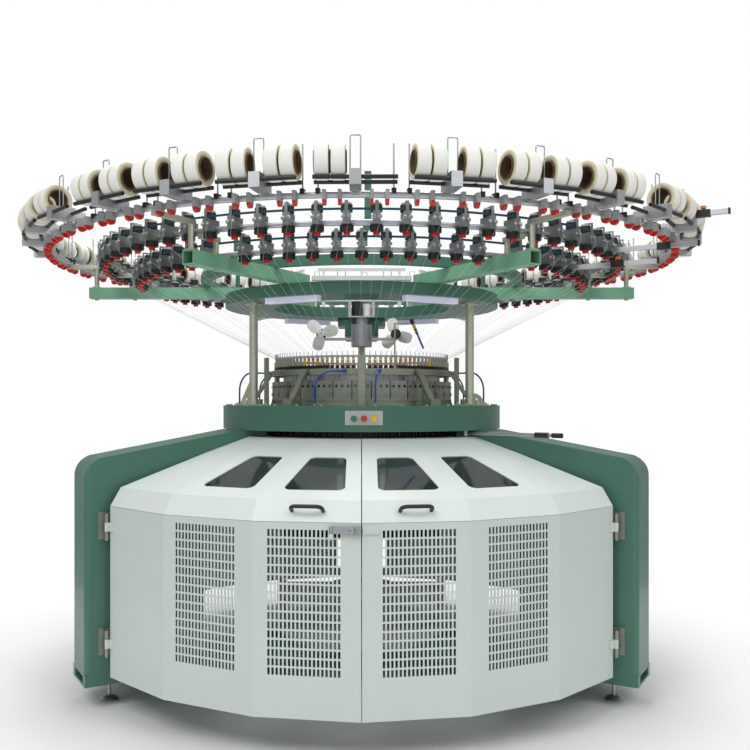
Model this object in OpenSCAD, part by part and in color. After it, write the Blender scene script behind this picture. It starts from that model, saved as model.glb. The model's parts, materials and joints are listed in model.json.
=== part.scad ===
/* [Bottom frame and legs] */
// Height of the underside of the bottom frame above the floor
frame_z0 = 110; // [100:1:130]
// Thickness of the bottom frame
frame_h = 56; // [50:1:60]
// Half width of the arms of the bottom frame
arm_half = 206; // [190:1:220]
// Half width of a leg
leg_half = 120; // [110:1:125]
// Radius of the outer face of the legs
leg_r_out = 1525; // [1510:1:1540]
// Radius of the inner face of the legs near the floor
leg_r_in = 960; // [940:1:980]
// Height at which the outer face of a leg starts to bend inward
leg_bend_z = 1055; // [1040:1:1065]
// Radius of the feet about the machine axis
foot_r = 1385; // [1370:1:1400]
// Diameter of a foot disc
foot_dia = 88; // [80:1:96]
// Diameter of a foot stem
stem_dia = 16; // [12:1:20]

/* [Guards] */
// Radius of the folds of the guard sheets
guard_r = 1440; // [1436:1:1444]
// Angle between two folds
fold_step = 17.7; // [17.6:0.05:17.8]
// Height of the lower edge of the panels
panel_z0 = 163; // [160:1:190]
// Height of the joint between panel and hood
panel_z1 = 943; // [930:1:950]
// Thickness of the guard sheets
sheet = 4; // [3:0.5:5]
// Fold radius at the top of the bevel
bevel_top_r = 1390; // [1385:1:1395]
// Height of the top of the bevel
bevel_top_z = 1025; // [1020:1:1030]
// Fold radius at the inner edge of the hood
hood_top_r = 740; // [735:1:745]
// Height of the inner edge of the hood
hood_top_z = 1242; // [1240:1:1243]
// Number of slot columns in a grille
grille_cols = 18; // [10:1:20]
// Number of slot rows in a grille
grille_rows = 16; // [8:1:16]

/* [Bed and columns] */
// Outer radius of the bed ring
bed_r = 756; // [750:1:760]
// Height of the underside of the bed ring
bed_z0 = 1274; // [1272:1:1276]
// Height of the top face of the bed ring
bed_z1 = 1396; // [1390:1:1400]
// Radius of the circle of the three columns
column_r = 645; // [640:1:650]
// Diameter of a column
column_dia = 44; // [40:1:48]
// Height of the underside of the middle ring
ring_z0 = 1925; // [1920:1:1930]
// Thickness of the middle ring and height of the creel arms
ring_h = 60; // [60:1:64]
// Outer radius of the middle ring
ring_r = 745; // [740:1:750]
// Inner radius of the middle ring
ring_r_in = 480; // [470:1:490]

/* [Drive and knitting head] */
// Gear module of the drive
gear_module = 6; // [6]
// Teeth of the large drive gear
gear_teeth = 200; // [200]
// Teeth of the motor pinion
pinion_teeth = 18; // [18]
// Radius of the needle cylinder
cyl_r = 431; // [430:1:432]
// Number of cam boxes round the cylinder
cam_count = 32; // [24:1:32]
// Number of yarn guides round the head
guide_count = 108; // [60:6:108]

/* [Creel] */
// Radius of the outer creel ring
ring_outer_r = 1620; // [1616:1:1624]
// Radius of the middle creel ring
ring_middle_r = 1340; // [1336:1:1344]
// Radius of the inner creel ring
ring_inner_r = 1165; // [1160:1:1170]
// Height of the outer creel ring
ring_outer_z = 2185; // [2184:1:2186]
// Height of the middle creel ring
ring_middle_z = 2137; // [2134:1:2140]
// Height of the inner creel ring
ring_inner_z = 2060; // [2059:1:2062]
// Number of storage feeders on each of the two inner creel rings
feeder_count = 72; // [48:24:72]
// Diameter of the creel ring tubes
creel_tube = 26; // [24:1:28]
// Radius of the blocks that carry the bobbin rollers
unit_r = 1703; // [1695:1:1710]
// Number of roller units on the outer ring
unit_count = 30; // [24:1:30]
// Diameter of a full bobbin
bobbin_dia = 134; // [120:1:138]
// Width of a bobbin
bobbin_w = 54; // [48:1:55]

/* [Hidden] */

bevel_top = [bevel_top_r, bevel_top_z];
hood_top = [hood_top_r, hood_top_z];
creel_r = [ring_outer_r, ring_middle_r, ring_inner_r];
creel_z = [ring_outer_z, ring_middle_z, ring_inner_z];
frame_z1 = frame_z0 + frame_h;
light_green = [0.38, 0.57, 0.47];
machine_green = [0.26, 0.45, 0.38];
sheet_grey = [0.86, 0.90, 0.88];
panel_grey = [0.74, 0.79, 0.76];
steel = [0.72, 0.73, 0.74];
pale_grey = [0.80, 0.81, 0.80];
dark = [0.10, 0.10, 0.11];
leg_angles = [-60, 60, 180];
arm_angles = [-150, -90, -30, 30, 90, 150];

// Places the children at an angle from the front, a radius and a height, with local +Y inward
module at(phi, r, z = 0) {
    rotate([0, 0, phi]) translate([0, -r, z]) children();
}

// A box centred on X, starting at y and z
module block(w, y0, y1, z0, z1, x = 0) {
    translate([x - w / 2, y0, z0]) cube([w, y1 - y0, z1 - z0]);
}

// A ring about the machine axis
module ring(r_in, r_out, z0, z1) {
    translate([0, 0, z0]) linear_extrude(z1 - z0) difference() {
        circle(r = r_out, $fn = 180);
        circle(r = r_in, $fn = 180);
    }
}

function arc_points(centre, r, a0, a1, steps) =
    [for (i = [0:steps]) centre + r * [cos(a0 + (a1 - a0) * i / steps), sin(a0 + (a1 - a0) * i / steps)]];

stem_fit = 0.3;
foot_h = 25;
hub_r = 330;
spigot_r = 40;
run_fit = 0.05;
frame_arm_r = 1365;

module frame_plan() {
    circle(r = hub_r, $fn = 90);
    for (a = leg_angles) rotate(a) {
        polygon([[-arm_half, 0], [-arm_half, -frame_arm_r + 90], [-leg_half, -frame_arm_r],
            [leg_half, -frame_arm_r], [arm_half, -frame_arm_r + 90], [arm_half, 0]]);
        translate([-leg_half, -leg_r_out]) square([2 * leg_half, leg_r_out]);
    }
}

module bottom_frame() {
    recess_w = 160;
    recess_d = 22;
    recess_h = 36;
    color(machine_green) difference() {
        translate([0, 0, frame_z0]) linear_extrude(frame_h) frame_plan();
        translate([0, 0, frame_z0 - 1]) cylinder(h = frame_h + 2, r = spigot_r + run_fit, $fn = 64);
        for (a = leg_angles) {
            at(a, foot_r, frame_z0 - 1) cylinder(h = frame_h + 2, r = stem_dia / 2 + stem_fit, $fn = 48);
            at(a, leg_r_out, frame_z0 + 10) translate([-recess_w / 2, -1, 0])
                cube([recess_w, recess_d + 1, recess_h]);
        }
    }
}

module foot() {
    nut_h = 16;
    rotate_extrude($fn = 64) polygon([[0, 0], [foot_dia / 2, 0], [foot_dia / 2, 8],
        [foot_dia / 2 - 10, foot_h - 6],
        [18, foot_h], [0, foot_h]]);
    cylinder(h = frame_z1 - 10, r = stem_dia / 2, $fn = 48);
    translate([0, 0, frame_z0 - nut_h]) cylinder(h = nut_h, r = 15, $fn = 6);
}

module levelling_feet() {
    color(steel) for (a = leg_angles) at(a, foot_r) foot();
}

leg_shoulder_r = 110;
leg_slope_end = 770;

// Side outline of a leg with radius to the right and height upward
module leg_side() {
    polygon(concat([[leg_r_in, frame_z1], [leg_r_out, frame_z1]],
        arc_points([leg_r_out - leg_shoulder_r, leg_bend_z], leg_shoulder_r, 0, 72, 8),
        [[leg_slope_end, bed_z0], [625, bed_z0], [620, 1200], [leg_r_in, 1000]]));
}

module leg_plan() {
    edge = 24;
    translate([0, -leg_r_out]) hull() {
        translate([-leg_half + edge, edge]) circle(r = edge, $fn = 32);
        translate([leg_half - edge, edge]) circle(r = edge, $fn = 32);
        translate([-leg_half, 950]) square([2 * leg_half, 1]);
    }
}

module legs() {
    color(machine_green) for (a = leg_angles) rotate(a) intersection() {
        rotate([90, 0, -90]) translate([0, 0, -leg_half]) linear_extrude(2 * leg_half) leg_side();
        linear_extrude(bed_z0 + 10) leg_plan();
    }
}

half_step = fold_step / 2;
facet_cos = cos(half_step);
facet_sin = sin(half_step);
facet_w = 2 * guard_r * facet_sin;
facet_mids = [half_step, 3 * half_step, 5 * half_step];
seam_gap = 2.2;
hinge_end_gap = 12;
slot_w = 10;
slot_h = 29;
slot_pitch_x = 16.8;
slot_pitch_z = 36.6;
grille_edge = 84;
grille_z = 334;
window_r0 = 1300;
window_r1 = 960;

// Flat panel sheet of one facet, from x0 to x1, with or without its grille
module panel_facet(phi, x0, x1, slots) {
    at(phi, guard_r * facet_cos, panel_z0) rotate([90, 0, 0]) translate([0, 0, -sheet]) linear_extrude(sheet)
        difference() {
            translate([x0, 0]) square([x1 - x0, panel_top - panel_z0]);
            if (slots) for (i = [0:grille_cols - 1], j = [0:grille_rows - 1])
                translate([grille_edge - facet_w / 2 + i * slot_pitch_x,
                    grille_z - panel_z0 + j * slot_pitch_z])
                    square([slot_w, slot_h]);
        }
}

// Outline of a flat sloping facet between two fold radii; half widths follow the fold angle
module slope_outline(ra, rb, length, inset_a = 0, inset_b = 0) {
    polygon([[-ra * facet_sin + inset_a, 0], [ra * facet_sin - inset_b, 0],
        [rb * facet_sin - inset_b, length], [-rb * facet_sin + inset_a, length]]);
}

// Places a sloping sheet between two fold radii and heights, outer face up
module on_slope(phi, a, b) {
    run = (a[0] - b[0]) * facet_cos;
    at(phi, a[0] * facet_cos, a[1]) rotate([atan2(b[1] - a[1], run), 0, 0]) children();
}

function slope_length(a, b) = norm([(a[0] - b[0]) * facet_cos, b[1] - a[1]]);

bevel_foot = [guard_r, panel_z1];
bevel_angle = atan2(bevel_top[1] - panel_z1, (guard_r - bevel_top[0]) * facet_cos);
seam_fit = 0.2;
panel_top = panel_z1 - sheet * cos(bevel_angle) - seam_fit;

// Outline of a window on the hood slope, measured from the bevel edge
module window_outline(margin) {
    edge_a = 68;
    corner = 30;
    scale_r = slope_length(bevel_top, hood_top) / (bevel_top[0] - hood_top[0]);
    y0 = (bevel_top[0] - window_r0) * scale_r;
    y1 = (bevel_top[0] - window_r1) * scale_r;
    x0 = window_r0 * facet_sin - edge_a;
    x1 = window_r1 * facet_sin - edge_a;
    offset(r = corner + margin, $fn = 32) offset(delta = -corner)
        polygon([[-x0, y0], [x0, y0], [x1, y1], [-x1, y1]]);
}

module hood_facet(phi, window, inset_a = 0, inset_b = 0) {
    on_slope(phi, bevel_foot, bevel_top) translate([0, 0, -sheet]) linear_extrude(sheet)
        slope_outline(guard_r, bevel_top[0], slope_length(bevel_foot, bevel_top), inset_a, inset_b);
    on_slope(phi, bevel_top, hood_top) translate([0, 0, -sheet]) linear_extrude(sheet) difference() {
        slope_outline(bevel_top[0], hood_top[0], slope_length(bevel_top, hood_top), inset_a, inset_b);
        if (window) window_outline(0);
    }
}

// Slab that keeps the hoods clear of the side faces of a leg
module leg_clearance(phi) {
    hood_gap = 6;
    at(phi, 0) block(2 * (leg_half + hood_gap), -leg_r_out, 0, panel_z1 - 10, bed_z0);
}

module window_pane(phi) {
    pane_margin = 14;
    pane_h = 4;
    on_slope(phi, bevel_top, hood_top) translate([0, 0, -sheet - pane_h]) linear_extrude(pane_h)
        window_outline(pane_margin);
}

// The right door; the left door is its mirror image
hinge_out = 11;
hinge_zs = [315, 847];
barrel_r = 9;
pin_r = 5;
barrel_h = 40;
last_mid = facet_mids[2];

module at_hinge(z = 0) {
    at(last_mid, guard_r * facet_cos + hinge_out, z) translate([facet_w / 2, 0, 0]) children();
}

module door_panel() {
    color(panel_grey) {
        union() {
            for (i = [0:2])
                panel_facet(facet_mids[i], -facet_w / 2 + (i == 0 ? seam_gap : 0),
                    facet_w / 2 - (i == 2 ? hinge_end_gap : 0), i < 2);
            for (z = hinge_zs) at_hinge(z) difference() {
                union() {
                    translate([0, 0, -barrel_h / 2]) cylinder(h = barrel_h, r = barrel_r, $fn = 48);
                    block(42, hinge_out - 5, hinge_out + 0.5, -barrel_h / 2, barrel_h / 2, -25);
                    block(10, 0, hinge_out, -barrel_h / 2, barrel_h / 2, -7);
                }
                translate([0, 0, -barrel_h]) cylinder(h = 2 * barrel_h, r = pin_r + run_fit, $fn = 48);
            }
        }
    }
}

module door_hood() {
    color(sheet_grey) difference() {
        union() for (i = [0:2])
            hood_facet(facet_mids[i], i < 2, i == 0 ? seam_gap : 0, i == 2 ? hinge_end_gap : 0);
        leg_clearance(60);
    }
}

module door_windows() {
    color([0.35, 0.40, 0.42, 0.6]) for (i = [0, 1]) window_pane(facet_mids[i]);
}

handle_w = 143;
handle_r = 8;
handle_out = 42;
handle_bend = 24;

module bow_handle(phi) {
    bar = handle_w - 2 * handle_bend - 2 * handle_r;
    on_slope(phi, bevel_foot, bevel_top) translate([0, slope_length(bevel_foot, bevel_top) / 2, 0]) {
        translate([-bar / 2, 0, handle_out]) rotate([0, 90, 0]) cylinder(h = bar, r = handle_r, $fn = 32);
        for (s = [0, 1]) mirror([s, 0, 0]) translate([bar / 2, 0, handle_out - handle_bend]) {
            rotate([90, 0, 0]) rotate_extrude(angle = 90, $fn = 48) translate([handle_bend, 0])
                circle(r = handle_r, $fn = 32);
            translate([handle_bend, 0, handle_bend - handle_out]) cylinder(h = handle_out - handle_bend,
                r = handle_r, $fn = 32);
        }
    }
}

module door_handle() {
    color(dark) bow_handle(facet_mids[0]);
}

module mirrored() {
    mirror([1, 0, 0]) children();
}

module door_right_panel() {
    keeper_x = 37;
    door_panel();
    color(steel) at(half_step, guard_r * facet_cos) {
        block(66, -8, 1, 900, 930, keeper_x - facet_w / 2);
        for (s = [-1, 1]) translate([keeper_x - facet_w / 2 + s * 14, -7, 915]) rotate([90, 0, 0])
            cylinder(h = 4, r = 6, $fn = 32);
    }
}

module door_right_hood() {
    door_hood();
}

module door_right_windows() {
    door_windows();
}

module door_right_handle() {
    door_handle();
}

module door_left_panel() {
    mirrored() door_panel();
    color(steel) at(-half_step, guard_r * facet_cos) difference() {
        block(18, -20, 1, 880, 900, latch_x);
        translate([latch_x, latch_y, 870]) cylinder(h = 40, r = latch_pin_r, $fn = 32);
    }
}

module door_left_hood() {
    mirrored() door_hood();
}

module door_left_windows() {
    mirrored() door_windows();
}

module door_left_handle() {
    mirrored() door_handle();
}

latch_x = facet_w / 2 - 119;
latch_y = -12;
latch_pin_r = 4;

// Swinging latch bar on the left door with its loop at the seam
module door_latch() {
    bar_z0 = 900.3;
    bar_z1 = 928;
    loop_w = 34;
    color(steel) at(-half_step, guard_r * facet_cos) {
        difference() {
            union() {
                translate([latch_x, latch_y, bar_z0]) cylinder(h = bar_z1 - bar_z0, r = 8, $fn = 32);
                block(86, latch_y - 3, latch_y + 3, bar_z0, bar_z1, latch_x + 43);
            }
            translate([latch_x + 74, latch_y + 4, (bar_z0 + bar_z1) / 2]) rotate([90, 0, 0])
                cylinder(h = 8, r = 4, $fn = 32);
        }
        translate([latch_x, latch_y, 872]) cylinder(h = bar_z1 - 872, r = latch_pin_r - run_fit, $fn = 32);
        translate([latch_x + 86 + loop_w / 2 - 1, 0, 0]) difference() {
            block(loop_w, latch_y - 5, latch_y + 7, bar_z0 - 6, bar_z1 + 4);
            block(loop_w - 12, latch_y - 6, latch_y + 8, bar_z0, bar_z1 - 2);
        }
    }
}

// The hinge axis seen from the leg: sideways and outward
leg_turn = 60 - last_mid;
hinge_d = guard_r * facet_cos + hinge_out;
hinge_side = facet_w / 2 * cos(leg_turn) - hinge_d * sin(leg_turn);
hinge_reach = facet_w / 2 * sin(leg_turn) + hinge_d * cos(leg_turn);

// Brackets on the side of a front leg with the hinge barrels and pins
module hinge_bracket() {
    lift = 40.1;
    half_h = 19.9;
    plate_h = 120;
    for (z = hinge_zs) {
        at(60, 0, z) {
            block(6, -hinge_reach - 25, -hinge_reach + 45, -plate_h / 2 - 2, plate_h / 2 + 2, -leg_half - 3);
            for (s = [-1, 1]) {
                translate([0, 0, s * lift]) block(-leg_half - hinge_side, -hinge_reach - 6, -hinge_reach + 6,
                    1 - half_h, half_h - 1, (hinge_side - leg_half) / 2);
                translate([-leg_half - 5, -hinge_reach + 28, s * 40]) rotate([0, -90, 0])
                    cylinder(h = 6, r = 7, $fn = 32);
            }
        }
        at_hinge(z) {
            translate([0, 0, -plate_h / 2 - 3]) cylinder(h = plate_h + 6, r = pin_r, $fn = 48);
            for (s = [-1, 1]) translate([0, 0, s * lift - half_h])
                cylinder(h = 2 * half_h, r = barrel_r, $fn = 48);
        }
    }
}

module hinge_brackets() {
    color(steel) {
        hinge_bracket();
        mirrored() hinge_bracket();
    }
}

// The two rear bays are closed by fixed guards
rear_mids = [for (i = [0:5]) 60 + (120 - 6 * fold_step) / 2 + half_step + i * fold_step];

module rear_bay() {
    folds = [for (i = [0:6]) rear_mids[0] - half_step + i * fold_step];
    inner_r = guard_r - sheet / facet_cos;
    translate([0, 0, panel_z0]) linear_extrude(panel_top - panel_z0) polygon(concat(
        [for (i = [0:6]) guard_r * [sin(folds[i]), -cos(folds[i])]],
        [for (i = [6:-1:0]) inner_r * [sin(folds[i]), -cos(folds[i])]]));
    difference() {
        union() for (i = [0:5]) hood_facet(rear_mids[i], i == 2 || i == 3);
        leg_clearance(60);
        leg_clearance(180);
    }
}

module rear_guards() {
    color(sheet_grey) rear_bay();
    color(sheet_grey) mirrored() rear_bay();
}

module rear_windows() {
    color([0.35, 0.40, 0.42, 0.6]) for (i = [2, 3]) {
        window_pane(rear_mids[i]);
        mirrored() window_pane(rear_mids[i]);
    }
}

bed_skin = 40;
bed_wall = 24;
bed_hole_r = 440;
hub_wall_r = 530;
gear_z0 = 1240;
gear_z1 = 1270;
axial_fit = 0.3;
pad_y = 750;
plate_x = 11;
plate_w = 177;
plate_z0 = 1307;
plate_z1 = 1374;
button_x = [-36, 11, 58];
button_z = 1337;
button_head_r = 15;
button_stem_r = 9;
button_travel = 4;
lever_phi = 48;
lever_r = 700;
lever_pin_r = 6;

module bed_ring() {
    color(machine_green) {
        difference() {
            union() {
                ring(bed_hole_r, bed_r, bed_z1 - bed_skin, bed_z1);
                ring(bed_r - bed_wall, bed_r, bed_z0, bed_z1);
                ring(hub_wall_r - 70, hub_wall_r, gear_z1 + axial_fit, bed_z1);
            }
            block(2 * bed_r, -bed_r - 1, -pad_y, plate_z0, plate_z1);
            for (x = button_x) translate([x, -bed_r, button_z]) rotate([-90, 0, 0])
                cylinder(h = bed_wall + 8, r = button_stem_r + 3, $fn = 32);
        }
        at(lever_phi, lever_r, gear_z1 - 26)
            cylinder(h = bed_z1 - bed_skin - gear_z1 + 26, r = lever_pin_r, $fn = 48);
        at(lever_phi, lever_r, gear_z1 - 32) cylinder(h = 6, r = 12, $fn = 32);
    }
}

module button_panel() {
    color(pale_grey) difference() {
        block(plate_w, -pad_y - 8, -pad_y, plate_z0, plate_z1, plate_x);
        for (x = button_x) translate([x, -pad_y - 9, button_z]) rotate([-90, 0, 0])
            cylinder(h = 10, r = button_stem_r + run_fit, $fn = 48);
    }
    color(steel) for (x = button_x) translate([x, -pad_y - 8, button_z]) rotate([90, 0, 0]) difference() {
        cylinder(h = 3, r = button_head_r + 4, $fn = 48);
        translate([0, 0, -1]) cylinder(h = 5, r = button_head_r + 0.4, $fn = 48);
    }
}

module button(i, shade) {
    face_y = -pad_y - 8 - button_travel - 0.3;
    color(shade) translate([button_x[i], face_y, button_z]) rotate([90, 0, 0]) {
        cylinder(h = 10, r = button_head_r, $fn = 48);
        translate([0, 0, -24]) cylinder(h = 24, r = button_stem_r, $fn = 48);
    }
}

module button_green() {
    button(0, [0.1, 0.55, 0.3]);
}

module button_red() {
    button(1, [0.8, 0.1, 0.1]);
}

module button_yellow() {
    button(2, [0.9, 0.75, 0.1]);
}

// Lever that turns about a pin under the bed, with its grip out past the hoods
module turning_lever() {
    rod_z = gear_z1 - 10;
    rod_r = 9;
    grip_r = 13;
    reach = [16, 400, 470, 490, 540];
    color(steel) at(lever_phi, lever_r, rod_z) {
        difference() {
            union() {
                translate([0, 0, -15]) cylinder(h = 28, r = 18, $fn = 48);
                rotate([90, 0, 0]) cylinder(h = reach[3], r = rod_r, $fn = 32);
            }
            translate([0, 0, -20]) cylinder(h = 40, r = lever_pin_r + run_fit, $fn = 48);
        }
    }
    color(dark) at(lever_phi, lever_r, rod_z) rotate([90, 0, 0]) {
        translate([0, 0, reach[1]]) difference() {
            cylinder(h = reach[2] - reach[1], r = grip_r, $fn = 32);
            translate([0, 0, -1]) cylinder(h = reach[2], r = rod_r, $fn = 32);
        }
        translate([0, 0, reach[3]]) cylinder(h = reach[4] - reach[3], r = grip_r - 1, $fn = 32);
    }
}

base_h = 9;
flange_h = 8;
gusset_h = 115;

// A column with its base plate, top flange and a gusset on the outer side
module column(round_gusset) {
    top = ring_z0 - flange_h;
    translate([0, 0, bed_z1]) linear_extrude(base_h) translate([-65, -80]) square([130, 140]);
    translate([0, 0, bed_z1 + base_h]) cylinder(h = top - bed_z1 - base_h, r = column_dia / 2, $fn = 64);
    translate([0, 0, top]) cylinder(h = flange_h, r = 46, $fn = 64);
    translate([0, -column_dia / 2 + 2, bed_z1 + base_h]) rotate([90, 0, -90]) translate([0, 0, -6])
        linear_extrude(12) difference() {
            if (round_gusset) intersection() {
                circle(r = 55, $fn = 64);
                square(60);
            }
            else polygon([[0, 0], [55, 0], [0, gusset_h]]);
            translate([17, 22]) circle(r = 8, $fn = 32);
        }
    for (x = [-50, 50], y = [-66, 46]) translate([x, y, bed_z1 + base_h]) cylinder(h = 8, r = 9, $fn = 6);
}

module columns() {
    color(machine_green) {
        at(-60, column_r) column(false);
        at(60, column_r) column(true);
        at(180, column_r) column(true);
    }
}

module middle_ring() {
    color(machine_green) ring(ring_r_in, ring_r, ring_z0, ring_z0 + ring_h);
}

light_angles = [-151, -29, 29, 151];

module work_lights() {
    bar_h = 28;
    bar_w = 34;
    bar_l = 285;
    color([0.85, 0.85, 0.9]) for (a = light_angles) at(a, 690, ring_z0 - bar_h)
        block(bar_l, -bar_w / 2, bar_w / 2, 0, bar_h);
    color(steel) for (a = light_angles, s = [-1, 1]) at(a, 690, ring_z0 - bar_h)
        block(6, -bar_w / 2 - 4, bar_w / 2 + 4, -2, bar_h, s * (bar_l / 2 + 3));
}

arm_z0 = ring_z0 + ring_h;
arm_h = 60;
arm_z1 = arm_z0 + arm_h;
arm_wall = 5;
arm_r_in = 564;
arm_r_side = 1500;
arm_r_end = 1435;

function arm_end(a) = abs(a) == 90 ? arm_r_side : arm_r_end;

module creel_arms() {
    color(light_green) for (a = arm_angles) at(a, 0, arm_z0) difference() {
        block(arm_h, -arm_end(a), -arm_r_in, 0, arm_h);
        block(arm_h - 2 * arm_wall, -arm_end(a) - 1, -arm_r_in + 1, arm_wall, arm_h - arm_wall);
    }
}

// Rectangular ducts that join the inner ends of the arms
module cable_ducts() {
    duct_r = 560;
    duct_h = 22;
    duct_l = 500;
    color([0.93, 0.93, 0.92]) for (i = [0:5]) at(60 * i, duct_r * cos(30), arm_z1 - duct_h) {
        block(duct_l, 0, 40, 0, duct_h);
        for (s = [-1, 1]) block(22, 4, 36, duct_h - arm_h, 0, s * (duct_l / 2 - 20));
        block(duct_l - 60, 14, 26, duct_h + 26, duct_h + 40);
        for (s = [-1, 0, 1]) block(10, 14, 26, duct_h, duct_h + 26, s * (duct_l / 2 - 60));
    }
}

upper_in = 830;
upper_out = 875;
upper_h = 45;
lug_h = 382;
lug_t = 8;

// Flat lifting bar with a sideways crank and a hole near its top
module lifting_lug() {
    bar_w = 32;
    crank = 18;
    bend_a = 90;
    bend_b = 150;
    translate([0, lug_t / 2, 0]) rotate([90, 0, 0]) linear_extrude(lug_t) difference() {
        polygon([[-bar_w / 2, 0], [bar_w / 2, 0], [bar_w / 2, bend_a], [bar_w / 2 + crank, bend_b],
            [bar_w / 2 + crank, lug_h], [crank - bar_w / 2, lug_h], [crank - bar_w / 2, bend_b],
            [-bar_w / 2, bend_a]]);
        translate([crank, lug_h - 24]) circle(r = 10, $fn = 48);
    }
}

module upper_ring() {
    color(machine_green) {
        ring(upper_in, upper_out, arm_z1, arm_z1 + upper_h);
        for (a = [0, 120, -120]) at(a, (upper_in + upper_out) / 2, arm_z1 + upper_h - 1)
            translate([11, 0, 0]) lifting_lug();
    }
}

tube_r = creel_tube / 2;
post_r = 12.5;

outer_post_r = 1465;
middle_post_r = 1254;

// Post of the outer or middle ring on an arm
module creel_post(i, a) {
    foot_t = 6;
    cradle_h = 20;
    post = i == 0 ? min(outer_post_r, arm_end(a) - 20) : middle_post_r;
    top = creel_z[i] - tube_r;
    at(a, post, arm_z1) {
        block(50, -18, 18, 0, foot_t);
        cylinder(h = top - arm_z1 - cradle_h + 1, r = post_r, $fn = 48);
    }
    at(a, 0) block(30, -creel_r[i] - 14, -post + 14, top - cradle_h, top);
    at(a, post, arm_z0 - 8) cylinder(h = 8, r = 11, $fn = 6);
}

// The inner ring lies close over the arms, in a low saddle on each
module ring_saddle(a) {
    saddle_w = 40;
    at(a, creel_r[2], arm_z1) difference() {
        block(saddle_w, -tube_r - 8, tube_r + 8, 0, creel_z[2] - arm_z1 - 4);
        translate([0, 0, creel_z[2] - arm_z1]) rotate([0, 90, 0])
            cylinder(h = 2 * saddle_w, r = tube_r + 0.1, center = true, $fn = 48);
    }
}

module creel_posts() {
    color(steel) for (a = arm_angles) {
        creel_post(0, a);
        creel_post(1, a);
        ring_saddle(a);
    }
}

module creel_rings() {
    color(steel) for (i = [0:2]) translate([0, 0, creel_z[i]]) rotate_extrude($fn = 180)
        translate([creel_r[i], 0]) circle(r = tube_r, $fn = 48);
}

// Storage feeders stand on the two inner creel rings, with their heads just outside the tube
feeder_step = 360 / feeder_count;
feeder_rows = [1, 2];
head_out = 24;
clamp_fit = 0.1;
pulley_r = 24;
pulley_z = 38;
pulley_h = 28;
cap_h = 8;
wheel_r = 26;
wheel_z = -15;
wheel_h = 25;
lamp_r = 14;
lamp_h = 13;

function feeder_phi(row, i) = (i + (row == 1 ? 0.5 : 0)) * feeder_step;

// The inner row leaves out the places over the creel arms
function angle_apart(a, b) = abs((a - b + 540) % 360 - 180);
function over_arm(phi) = min([for (a = arm_angles) angle_apart(phi, a)]) < feeder_step / 2 - 0.1;

module each_feeder() {
    for (row = feeder_rows, i = [0:feeder_count - 1]) if (row == 1 || !over_arm(feeder_phi(row, i)))
        at(feeder_phi(row, i), creel_r[row], creel_z[row]) children();
}

// Body of a feeder: block clamped over the ring tube, with a narrow bracket that reaches over the pulley
module feeder_body() {
    body_w = 30;
    bracket_w = 13;
    bracket_t = 5;
    front = -head_out - pulley_r - 10;
    top = pulley_z + pulley_h + cap_h;
    difference() {
        union() {
            block(body_w, front, tube_r + 6, wheel_z, pulley_z);
            block(bracket_w, front, front + bracket_t, pulley_z - 1, top + bracket_t);
            block(bracket_w, front, -head_out, top, top + bracket_t);
        }
        rotate([0, 90, 0]) cylinder(h = 2 * body_w, r = tube_r + clamp_fit, center = true, $fn = 48);
    }
}

module feeder_bodies() {
    color(pale_grey) each_feeder() feeder_body();
}

// Belt pulley with its cap above each body and the yarn wheel below it
module feed_wheels() {
    color(dark) each_feeder() translate([0, -head_out, 0]) {
        translate([0, 0, pulley_z]) cylinder(h = pulley_h, r = pulley_r, $fn = 48);
        translate([0, 0, pulley_z + pulley_h]) cylinder(h = cap_h, r = pulley_r - 4, $fn = 48);
        translate([0, 0, wheel_z - wheel_h]) cylinder(h = wheel_h, r = wheel_r, $fn = 48);
    }
}

module signal_lamps() {
    stop_lamp_w = 13;
    color([0.8, 0.1, 0.1]) {
        each_feeder() translate([0, -head_out, wheel_z - wheel_h - lamp_h])
            cylinder(h = lamp_h, r = lamp_r, $fn = 32);
        each_stop() translate([0, stop_mid, stop_z0]) rotate([0, 90, 0]) intersection() {
            cylinder(h = stop_lamp_w, r = stop_half - 1, center = true, $fn = 48);
            translate([0, -stop_half, -stop_lamp_w]) cube([stop_half, 2 * stop_half, 2 * stop_lamp_w]);
        }
    }
}

// Toothed belts round the outside of the feeder pulleys
module feed_belts() {
    belt_t = 3;
    belt_h = 9;
    color([0.05, 0.25, 0.32]) for (row = feeder_rows) {
        inner = creel_r[row] + head_out + pulley_r;
        ring(inner, inner + belt_t, creel_z[row] + pulley_z + 3, creel_z[row] + pulley_z + 3 + belt_h);
    }
}

unit_step = 360 / unit_count;
unit_phase = -0.75;
unit_rod_r = 8;
unit_rod_l = 306;
unit_rod_gap = 78;
unit_rod_z = 2220;
bobbin_x = [61, 121];

module each_unit() {
    for (i = [0:unit_count - 1]) at(unit_phase + i * unit_step, unit_r, unit_rod_z) children();
}

// Block with a short arm back to its clamp on the outer creel ring
module roller_blocks() {
    block_w = 43;
    arm_top = 12;
    arm_z = -15;
    back = unit_r - creel_r[0];
    drop = creel_z[0] - unit_rod_z;
    grip = tube_r + 6;
    color(steel) each_unit() difference() {
        union() {
            block(block_w, -unit_rod_gap / 2 - 16, unit_rod_gap / 2 + 16, -30, unit_top);
            block(30, unit_rod_gap / 2, back + grip, arm_z, arm_top);
            block(30, back - grip, back + grip, drop - 6, arm_z + 1);
        }
        for (s = [-1, 1]) translate([-block_w, s * unit_rod_gap / 2, 0]) rotate([0, 90, 0])
            cylinder(h = 2 * block_w, r = unit_rod_r + run_fit, $fn = 48);
        translate([-block_w, back, drop]) rotate([0, 90, 0])
            cylinder(h = 2 * block_w, r = tube_r + clamp_fit, $fn = 48);
    }
}

module bobbin_rollers() {
    color(dark) each_unit() for (s = [-1, 1])
        translate([-unit_rod_l / 2, s * unit_rod_gap / 2, 0]) rotate([0, 90, 0])
            cylinder(h = unit_rod_l, r = unit_rod_r, $fn = 48);
}

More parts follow.
